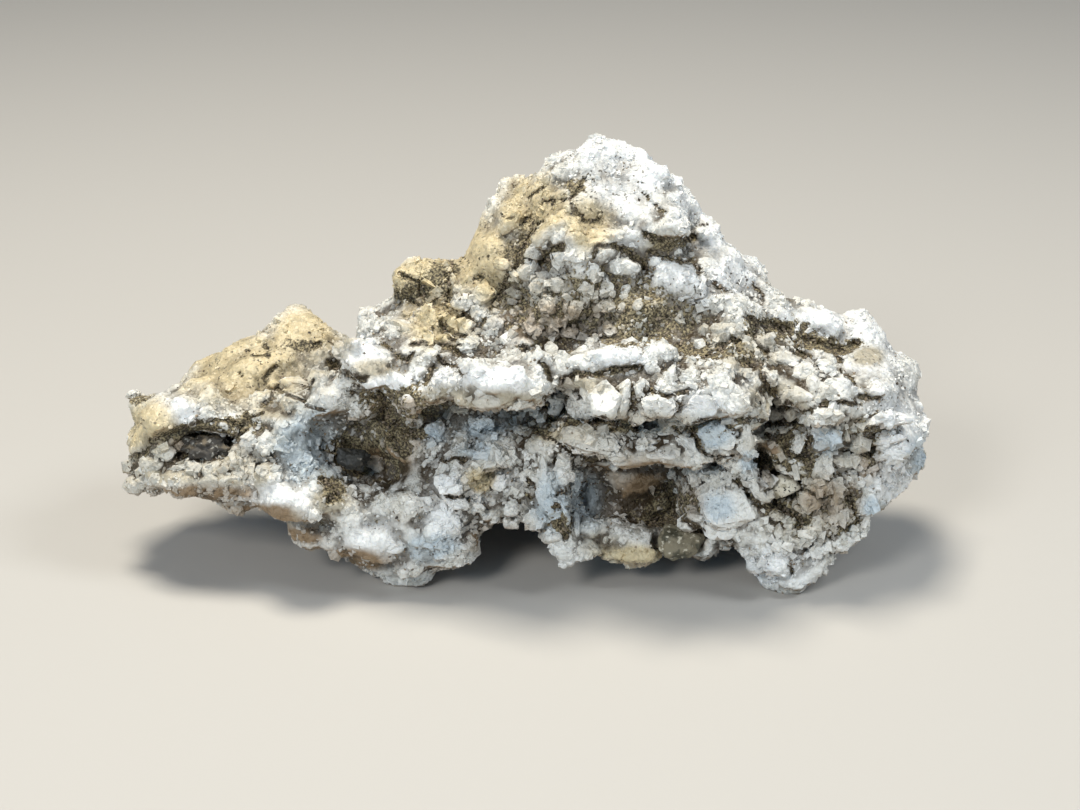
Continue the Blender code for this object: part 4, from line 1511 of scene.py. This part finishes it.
def new_material(name: str) -> tuple[bpy.types.Material, NodeDesk]:
    """An empty material, and the desk to fill it from."""
    material = bpy.data.materials.new(name)
    material.use_nodes = True
    material.node_tree.nodes.clear()
    return material, NodeDesk(material.node_tree)


def new_group(name: str, inputs: dict[str, str], outputs: dict[str, str]) -> bpy.types.NodeTree:
    """An empty shader node group with named sockets.

    Args:
        name: the group's name.
        inputs: each input's name and its socket type.
        outputs: each output's name and its socket type.

    Returns:
        The group's tree.
    """
    tree = bpy.data.node_groups.new(name, "ShaderNodeTree")
    for way, sockets in (("INPUT", inputs), ("OUTPUT", outputs)):
        for socket, kind in sockets.items():
            tree.interface.new_socket(socket, in_out=way, socket_type=kind)
    return tree


COLOUR, VALUE = "NodeSocketColor", "NodeSocketFloat"
# Cool is painted sky-lit shade, Gap painted shade in hollows and crevices, Brown partly painted warm
# bounce light, and the dust colour partly painted shade.
GYPSUM_COLOURS = (
    "White", "Dull White", "Snow", "Cream", "Dusty", "Cool", "Brown", "Gap", "Sand", "Dark Sand",
)
GYPSUM_VALUES = ("Dirt Share", "Gap Shade", "Gap From")


def stained_gypsum() -> bpy.types.NodeTree:
    """The shared effect of all gypsum: white crystal, its stains and painted shade, the sand caught in it,
    its grain.

    Each stain mask is broken up by noise before it mixes its colour in. The cool mask paints shade, the
    brown mask partly warm bounce light and the dust mask partly shade. Painted shade darkens the hollows,
    except where the crust is snowy, cream or cool, and the crevices. Sand shows where the dirt and hollow
    masks together beat a fine noise, and dark flecks where a fine noise peaks.

    Returns:
        A group that puts out Color, Roughness and Height.
    """
    name = "stained_gypsum"
    if name in bpy.data.node_groups:
        return bpy.data.node_groups[name]
    inputs = {**dict.fromkeys(GYPSUM_COLOURS, COLOUR), **dict.fromkeys(GYPSUM_VALUES, VALUE)}
    tree = new_group(name, inputs, {"Color": COLOUR, "Roughness": VALUE, "Height": VALUE})
    desk = NodeDesk(tree)
    given = desk.add("NodeGroupInput").outputs
    broad, speck, tiny = desk.noise(2.6), desk.noise(0.6), desk.noise(0.24, 2.0)
    shade = desk.plus(desk.times(desk.worn("shade"), 0.6), desk.times(speck, 0.8))
    colour = desk.mix(desk.ramp(shade, 0.25, 0.95), given["Dull White"], given["White"])
    # The stains over the white: the cool one is painted shade, the brown one partly painted bounce light,
    # the dust one partly painted shade.
    for stain, socket, strength in (
        (Stain.SNOW, "Snow", 0.95),
        (Stain.DUSTY, "Dusty", desk.times(given["Dirt Share"], 0.85)),
        (Stain.CREAM, "Cream", 1.0),
        (Stain.COOL, "Cool", 0.85),
        (Stain.BROWN, "Brown", given["Dirt Share"]),
    ):
        broken = desk.plus(desk.mask(stain), desk.times(broad, 0.6))
        share = desk.times(desk.ramp(broken, 0.40, 1.05), strength)
        colour = desk.mix(share, colour, given[socket])

    # Painted shade: the hollows darken towards the Gap colour. clean is the share of that painted shade
    # kept, less on snowy, cream and cool places.
    hollow = desk.mask(Stain.HOLLOW)
    clean = desk.larger(desk.mask(Stain.SNOW), desk.mask(Stain.CREAM))
    clean = desk.less(1.0, desk.times(desk.larger(clean, desk.mask(Stain.COOL)), 0.85))
    deep = desk.plus(hollow, desk.swing(speck, 0.35))
    gap = desk.ramp(deep, given["Gap From"], desk.plus(given["Gap From"], 0.22))
    gap = desk.times(desk.times(gap, given["Gap Shade"]), clean)
    colour = desk.mix(gap, colour, given["Gap"])

    # Painted shade in the crevices, in the Gap colour, fainter on cream.
    crack = desk.ramp(desk.plus(desk.mask(Stain.VEIN), desk.swing(speck, 0.6)), 0.66, 0.86)
    faint = desk.less(1.0, desk.times(desk.mask(Stain.CREAM), 0.5))
    colour = desk.mix(desk.times(crack, faint), colour, given["Gap"])

    fleck = desk.times(desk.ramp(desk.noise(0.32, 1.0), 0.62, 0.69), desk.ramp(broad, 0.36, 0.60))
    colour = desk.mix(desk.times(fleck, desk.mask(Stain.FLECK)), colour, given["Dark Sand"])

    caught = desk.plus(desk.mask(Stain.DIRT), desk.times(hollow, 0.9))
    caught = desk.times(caught, given["Dirt Share"])
    caught = desk.plus(caught, desk.times(desk.mask(Stain.VEIN), 0.55))
    strewn = desk.plus(desk.times(speck, 0.55), desk.times(tiny, 0.45))
    sandy = desk.ramp(desk.plus(caught, desk.swing(strewn, 2.6)), 0.85, 1.15)
    sand = desk.mix(desk.ramp(desk.noise(0.17, 1.0), 0.36, 0.70), given["Dark Sand"], given["Sand"])
    colour = desk.mix(sandy, colour, sand)

    rough = desk.plus(desk.plus(desk.times(speck, 0.30), 0.27), desk.times(sandy, 0.3))
    grain = desk.plus(desk.facets(0.50), desk.times(desk.facets(0.26), 0.6))
    height = desk.less(desk.plus(grain, desk.times(tiny, 0.7)), desk.times(crack, 1.2))
    desk.add("NodeGroupOutput", {"Color": colour, "Roughness": rough, "Height": height})
    return tree


def rgba(red: float, green: float, blue: float) -> Colour:
    """A solid colour."""
    return red, green, blue, 1.0


@dataclass(frozen=True)
class GypsumFinish:
    """White gypsum with its stains, its painted shade and bounce light, and a little light passing through
    it.

    Every field but the last two fills the input of the shared effect that has its name.
    """

    white: Colour = rgba(0.80, 0.79, 0.745)
    dull_white: Colour = rgba(0.58, 0.56, 0.50)
    snow: Colour = rgba(0.86, 0.865, 0.85)
    cream: Colour = rgba(0.66, 0.55, 0.345)
    # dust, and in places painted shade
    dusty: Colour = rgba(0.46, 0.41, 0.31)
    # painted shade: the blue-grey of sky-lit shade
    cool: Colour = rgba(0.53, 0.605, 0.65)
    # brown stain, and painted warm bounce light and shade in hollows and on undersides
    brown: Colour = rgba(0.28, 0.195, 0.115)
    # painted shade in hollows and crevices
    gap: Colour = rgba(0.058, 0.040, 0.021)
    sand: Colour = rgba(0.35, 0.29, 0.17)
    dark_sand: Colour = rgba(0.048, 0.036, 0.019)
    # how strong the dust, the brown and the caught sand are, with the painted shade and bounce light they
    # carry
    dirt_share: float = 0.7
    gap_shade: float = 0.85
    gap_from: float = 0.52
    glow: float = 0.16
    bump_mm: float = 0.14
    GLOW_REACH_MM = 0.5
    GLOW_COLOUR = (1.0, 0.85, 0.7)
    REFRACTION = 1.52

    def build(self, name: str) -> bpy.types.Material:
        """Makes the material.

        Args:
            name: the material's name.

        Returns:
            The material.
        """
        material, desk = new_material(name)
        stains = desk.tree.nodes.new("ShaderNodeGroup")
        stains.node_tree = stained_gypsum()
        for part in fields(self):
            socket = part.name.replace("_", " ").title()
            if socket in stains.inputs:
                stains.inputs[socket].default_value = getattr(self, part.name)
        relief = {"Height": stains.outputs["Height"], "Distance": self.bump_mm * MM, "Strength": 1.0}
        bump = desk.add("ShaderNodeBump", relief)
        desk.surface({
            "Base Color": stains.outputs["Color"],
            "Roughness": stains.outputs["Roughness"],
            "Normal": bump.outputs["Normal"],
            "IOR": self.REFRACTION,
            "Subsurface Weight": self.glow,
            "Subsurface Radius": self.GLOW_COLOUR,
            "Subsurface Scale": self.GLOW_REACH_MM * MM,
        })
        return material


@dataclass(frozen=True)
class SandFinish:
    """Loose grit: each grain its own shade between two dark earths, a few of them pale."""

    dark: Colour = rgba(0.06, 0.048, 0.036)
    light: Colour = rgba(0.30, 0.24, 0.17)
    roughness: float = 0.75

    def build(self, name: str) -> bpy.types.Material:
        """Makes the material."""
        material, desk = new_material(name)
        shade = desk.plus(desk.worn("shade"), desk.times(desk.noise(0.12), 0.3))
        colour = desk.mix(desk.ramp(shade, 0.2, 1.2), self.dark, self.light)
        desk.surface({"Base Color": colour, "Roughness": self.roughness})
        return material


@dataclass
class Grains:
    """Small crystals or grit strewn over the lump, each a closed chip, all in one piece."""

    name: str
    shape: GrainShape
    count: int
    size_mm: tuple[float, float]
    seed: int
    sunk: float = 0.1
    lean: float = 0.8
    flat: float = 0.6
    stretch: float = 1.0
    jitter: float = 0.28
    sunk_where_smooth: float = 0.22
    halves: tuple[tuple[float, ...], ...] = ((0.42, 0.34, 0.26), (0.60, 0.52, 0.46))
    small_bias: float = 1.7

    def build(
        self, skin: Surface, density: Array, finish: "GypsumFinish | SandFinish"
    ) -> bpy.types.Object:
        """Strews the grains and dresses them.

        Formula: the shape's corners, each moved by chance, stretched by the grain's half sizes,
        turned about the surface's normal, and set on the surface.

        Args:
            skin: the surface they lie on.
            density: how thickly they lie at each of its points.
            finish: what they are dressed in.

        Returns:
            The joined grains.
        """
        chance = np.random.default_rng(self.seed)
        places, normals, masks = skin.scatter(chance, self.count, density)
        low, high = self.size_mm
        size = (low + (high - low) * chance.random(self.count) ** self.small_bias) * MM
        halves = size[:, None] * chance.uniform(*self.halves, (self.count, 3))
        halves[:, 0] *= 1 + (self.stretch - 1) * chance.random(self.count)
        halves[:, 2] *= self.flat + (1 - self.flat) * chance.random(self.count)
        turns = turns_on(normals, chance, self.lean)
        sunk = self.sunk + self.sunk_where_smooth * near_places(places, SMOOTH_PLACES)
        middle = places - normals * (size * sunk)[:, None]
        middle[:, 2] = np.maximum(middle[:, 2], size * CLEAR_OF_FLOOR)
        corners, faces = self.shape.corners
        each = len(corners)
        local = corners + chance.uniform(-self.jitter, self.jitter, (self.count, each, 3))
        points = np.einsum("nij,npj->npi", turns, local * halves[:, None, :]) + middle[:, None, :]
        points = points.reshape(-1, 3)
        points[:, 2] = np.maximum(points[:, 2], 0.0)
        rows = faces_of_copies(faces, self.count, each)
        piece = make_mesh(self.name, points, rows, smooth=False)
        wear_masks(piece, masks, chance.random(self.count), each)
        piece.data.materials.append(finish.build(self.name + "_finish"))
        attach(piece, "root")
        LOG.info("%s: %d triangles", self.name, len(rows))
        return piece


@dataclass(frozen=True)
class StoneFinish:
    """A caught stone: a ground colour, a second colour in patches, and specks, all matt."""

    ground: Colour
    patch: Colour
    speck: Colour
    patch_mm: float = 1.2
    patch_from: float = 0.5
    speck_mm: float = 0.35
    speck_share: float = 0.35
    roughness: float = 0.6
    bump_mm: float = 0.08

    def build(self, name: str) -> bpy.types.Material:
        """Makes the material."""
        material, desk = new_material(name)
        patch = desk.ramp(desk.noise(self.patch_mm), self.patch_from, self.patch_from + 0.12)
        speck = desk.ramp(desk.noise(self.speck_mm), 1 - self.speck_share, 1.08 - self.speck_share)
        colour = desk.mix(speck, desk.mix(patch, self.ground, self.patch), self.speck)
        height = desk.plus(desk.noise(0.5), desk.times(desk.noise(0.15), 0.4))
        relief = {"Height": height, "Distance": self.bump_mm * MM, "Strength": 1.0}
        bump = desk.add("ShaderNodeBump", relief)
        rough = desk.plus(desk.times(patch, 0.15), self.roughness)
        desk.surface({"Base Color": colour, "Roughness": rough, "Normal": bump.outputs["Normal"]})
        return material


@dataclass(frozen=True)
class CaughtStone:
    """A stone held in the crust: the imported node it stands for, how rough it is, and its cut."""

    node: str
    name: str
    slot: str
    finish: StoneFinish
    seed: int
    lumps_mm: float
    cut: Cut
    pit_mm: float = 0.7
    grid: tuple[int, int] = (64, 40)

    def build(self) -> bpy.types.Object:
        """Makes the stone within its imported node's box.

        Formula: a fine ball grid cut by chance planes, pitted by layered noise, and fitted to
        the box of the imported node.

        Returns:
            The stone.
        """
        low, high = (np.array(corner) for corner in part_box(self.node))
        chance = np.random.default_rng(self.seed)
        middle, half = (low + high) / 2, (high - low) / 2
        place, turn, size = np.zeros((1, 3)), np.eye(3)[None], np.ones((1, 3))
        block = cut_blocks(place, turn, size, chance, self.cut, self.grid)
        points, faces = block.joined()
        pits = layered_noise(points * half + middle, self.pit_mm * MM, self.seed, 4) - 0.5
        points = points * (1.0 + pits * self.lumps_mm * MM / half.mean() * 2.0)[:, None]
        points = points / np.abs(points).max(axis=0) * half + middle
        stone = make_mesh(self.name, points, faces, smooth=True)
        stone.data.materials.append(self.finish.build(self.name + "_finish"))
        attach(stone, "root")
        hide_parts(self.node)
        return stone


@dataclass(frozen=True)
class Lamp:
    """A soft square lamp that looks at the lump: where it hangs and its side in metres, its power."""

    name: str
    place: tuple[float, float, float]
    side: float
    watts: float
    colour: tuple[float, float, float]

    def build(self) -> None:
        """Hangs the lamp."""
        data = bpy.data.lights.new(self.name, "AREA")
        data.size = self.side
        data.energy = self.watts
        data.color = self.colour
        item = bpy.data.objects.new(self.name, data)
        item.location = self.place
        aim = Vector(LAMP_AIM) - item.location
        item.rotation_euler = aim.to_track_quat("-Z", "Y").to_euler()
        bpy.context.scene.collection.objects.link(item)


LAMP_AIM = (0.0, 0.0, 0.012)
LAMPS = (
    Lamp("key", (-0.05, 0.03, 0.32), 0.10, 1.05, (1.0, 0.94, 0.82)),
    Lamp("front", (-0.14, -0.25, 0.21), 0.09, 0.55, (1.0, 0.98, 0.94)),
    Lamp("fill", (-0.26, -0.30, 0.10), 0.20, 0.29, (0.46, 0.74, 1.0)),
    Lamp("side", (0.22, -0.07, 0.25), 0.10, 0.42, (0.92, 0.97, 1.0)),
    Lamp("low_side", (0.27, -0.24, 0.09), 0.12, 0.17, (0.80, 0.91, 1.0)),
)


@dataclass
class Studio:
    """The pale floor, the lamps and the sky."""

    floor_side: float = 3.0
    floor_colour: Colour = rgba(0.50, 0.48, 0.45)
    floor_roughness: float = 0.8
    sky: Colour = rgba(0.45, 0.66, 0.95)
    sky_strength: float = 0.13

    def floor(self) -> bpy.types.Object:
        """A plain pale floor at the sole's height."""
        half = self.floor_side / 2
        corners = np.array([(-half, -half, 0), (half, -half, 0), (half, half, 0), (-half, half, 0)])
        item = make_mesh("floor", corners, np.array([[0, 1, 2, 3]]), smooth=False)
        material = bpy.data.materials.new("floor_paper")
        material.use_nodes = True
        shader = material.node_tree.nodes["Principled BSDF"]
        shader.inputs["Base Color"].default_value = self.floor_colour
        shader.inputs["Roughness"].default_value = self.floor_roughness
        item.data.materials.append(material)
        return item

    def build(self) -> None:
        """Sets the floor, the lamps, the sky and how the picture is shown."""
        self.floor()
        for lamp in LAMPS:
            lamp.build()
        world = bpy.data.worlds.new("sky")
        world.use_nodes = True
        ground = world.node_tree.nodes["Background"]
        ground.inputs["Color"].default_value = self.sky
        ground.inputs["Strength"].default_value = self.sky_strength
        bpy.context.scene.world = world
        bpy.context.scene.view_settings.view_transform = "Standard"


DARK_ROCK = StoneFinish(
    rgba(0.040, 0.034, 0.027), rgba(0.15, 0.12, 0.080), rgba(0.26, 0.25, 0.22), 0.8, 0.50, 0.35, 0.42
)
BLACK_ROCK = StoneFinish(
    rgba(0.030, 0.030, 0.027), rgba(0.085, 0.078, 0.062), rgba(0.22, 0.20, 0.17), 0.9, 0.52, 0.35, 0.32
)
GREEN_ROCK = StoneFinish(
    rgba(0.085, 0.078, 0.050), rgba(0.235, 0.205, 0.140), rgba(0.58, 0.54, 0.43), 1.1, 0.44, 0.42, 0.42
)
SPECKLED_ROCK = StoneFinish(
    rgba(0.70, 0.66, 0.55), rgba(0.44, 0.40, 0.30), rgba(0.045, 0.040, 0.030), 0.8, 0.5, 0.28, 0.42
)

STONES = (
    CaughtStone("dark_stone_left", "left_stone", "dark_stone", DARK_ROCK, 3, 0.95, Cut(12, 0.06)),
    CaughtStone("dark_stone_middle", "middle_stone", "dark_stone", BLACK_ROCK, 4, 0.90, Cut(12, 0.06)),
    CaughtStone("round_pebble_low", "low_pebble", "green_grey_pebble", GREEN_ROCK, 6, 0.50, Cut(14, 0.08)),
    CaughtStone(
        "speckled_pebble", "small_pebble", "speckled_pebble", SPECKLED_ROCK, 8, 0.22, Cut(14, 0.08)
    ),
)

CRYSTALS = Grains("small_crystals", GrainShape.CRYSTAL, 2700, (0.34, 1.00), 23, stretch=1.35, jitter=0.34)
SUGAR = (
    Grains("sugar_grains_a", GrainShape.CRYSTAL, 11500, (0.22, 0.60), 21),
    Grains("sugar_grains_b", GrainShape.CRYSTAL, 12000, (0.14, 0.34), 22),
)
GRIT = Grains("dark_grit", GrainShape.GRIT, 10000, (0.14, 0.36), 41, sunk=0.05, flat=0.8)


@dataclass(frozen=True)
class Strewing:
    """How thickly crystals, sugary grains and grit lie over the lump's outermost skin.

    The first fields are the ramps on which the soles, crevices, hollows and clusters start. A
    field with off_ in its name is how far that grain keeps off such a place.
    """

    sole_mm: tuple[float, float] = (0.1, 0.4)
    crevice_from: tuple[float, float] = (0.55, 0.90)
    hollow_from: tuple[float, float] = (0.42, 0.75)
    cluster_from: tuple[float, float] = (0.42, 0.62)
    cluster_mm: float = 3.0
    stone_reach: float = 0.6
    crystals_anywhere: float = 0.04
    crystals_in_blocky: float = 2.0
    crystals_behind: float = 0.22
    crystals_off_smooth: float = 0.95
    sugar_anywhere: float = 0.25
    sugar_off_crevice: float = 0.8
    sugar_off_dirt: float = 0.75
    sugar_off_bare: float = 0.94
    sugar_off_smooth: float = 0.5
    grit_anywhere: float = 0.03
    grit_in_dirt: float = 0.25
    grit_in_hollow: float = 0.35

    def build(self, outer: Surface, finish: GypsumFinish) -> None:
        """Strews all of the grains.

        Formula: crystals crowd in the blocky places and thin out on the smooth ones, sugary grains cluster
        by noise away from the bare places and from the dirt and the dust, which in places is painted
        shade, and grit gathers in dirt, hollows and crevices. None lies on the soles, and none on the
        stones.

        Args:
            outer: the skin they lie on.
            finish: what the crystals and the sugary grains are dressed in.
        """
        front = facing(outer.points, outer.normals)
        sole_low, sole_high = (height * MM for height in self.sole_mm)
        allowed = smooth_step(sole_low, sole_high, outer.points[:, 2])
        allowed = allowed * (1.0 - near_places(outer.points, STONE_PLACES, self.stone_reach) * front)
        crevice = smooth_step(*self.crevice_from, outer.masks[Stain.VEIN])
        hollow = smooth_step(*self.hollow_from, outer.masks[Stain.HOLLOW])
        dirt = outer.masks[Stain.DIRT]
        calm, bare, blocky = (
            near_places(outer.points, places) * front
            for places in (SMOOTH_PLACES, BARE_PLACES, BLOCKY_PLACES)
        )
        crowded = self.crystals_anywhere + self.crystals_in_blocky * blocky
        crowded = crowded + self.crystals_behind * (1.0 - front)
        crowded = crowded * (1.0 - self.crystals_off_smooth * calm) * (1.0 - crevice)
        CRYSTALS.build(outer, crowded * allowed, finish)
        noise = layered_noise(outer.points, self.cluster_mm * MM, 90)
        sugary = self.sugar_anywhere + smooth_step(*self.cluster_from, noise)
        dirt_dust_and_painted_shade = np.maximum(dirt, outer.masks[Stain.DUSTY]) * front
        clean = (1.0 - self.sugar_off_crevice * crevice) * (1.0 - self.sugar_off_dirt * dirt_dust_and_painted_shade)
        sugary = sugary * clean * (1.0 - self.sugar_off_bare * bare)
        sugary = sugary * (1.0 - self.sugar_off_smooth * calm) * allowed
        for grains in SUGAR:
            grains.build(outer, sugary, finish)
        dirty = self.grit_anywhere + dirt * (self.grit_in_dirt + hollow)
        dirty = dirty + self.grit_in_hollow * hollow + crevice
        GRIT.build(outer, dirty * allowed, SandFinish())


def main() -> None:
    """Builds the camera, the studio, the lump, its grains and its stones."""
    logging.basicConfig(level=logging.INFO, format="%(message)s")
    CAMERA.build()
    Studio().build()
    solid = PackedSolid(("gypsum_mass",))
    # The crust takes the most painted shade in its hollows, the filler and grains the least.
    ground = GypsumFinish(gap_from=0.37, gap_shade=1.0, dirt_share=1.12)
    clean = GypsumFinish(gap_shade=0.55, dirt_share=0.60)
    outer = Lump().build(solid, ground, GypsumFinish(), clean)
    Strewing().build(outer, clean)
    for stone in STONES:
        piece = stone.build()
        LOG.info("%s: %d triangles", piece.name, len(piece.data.polygons))


if __name__ == "__main__":
    main()
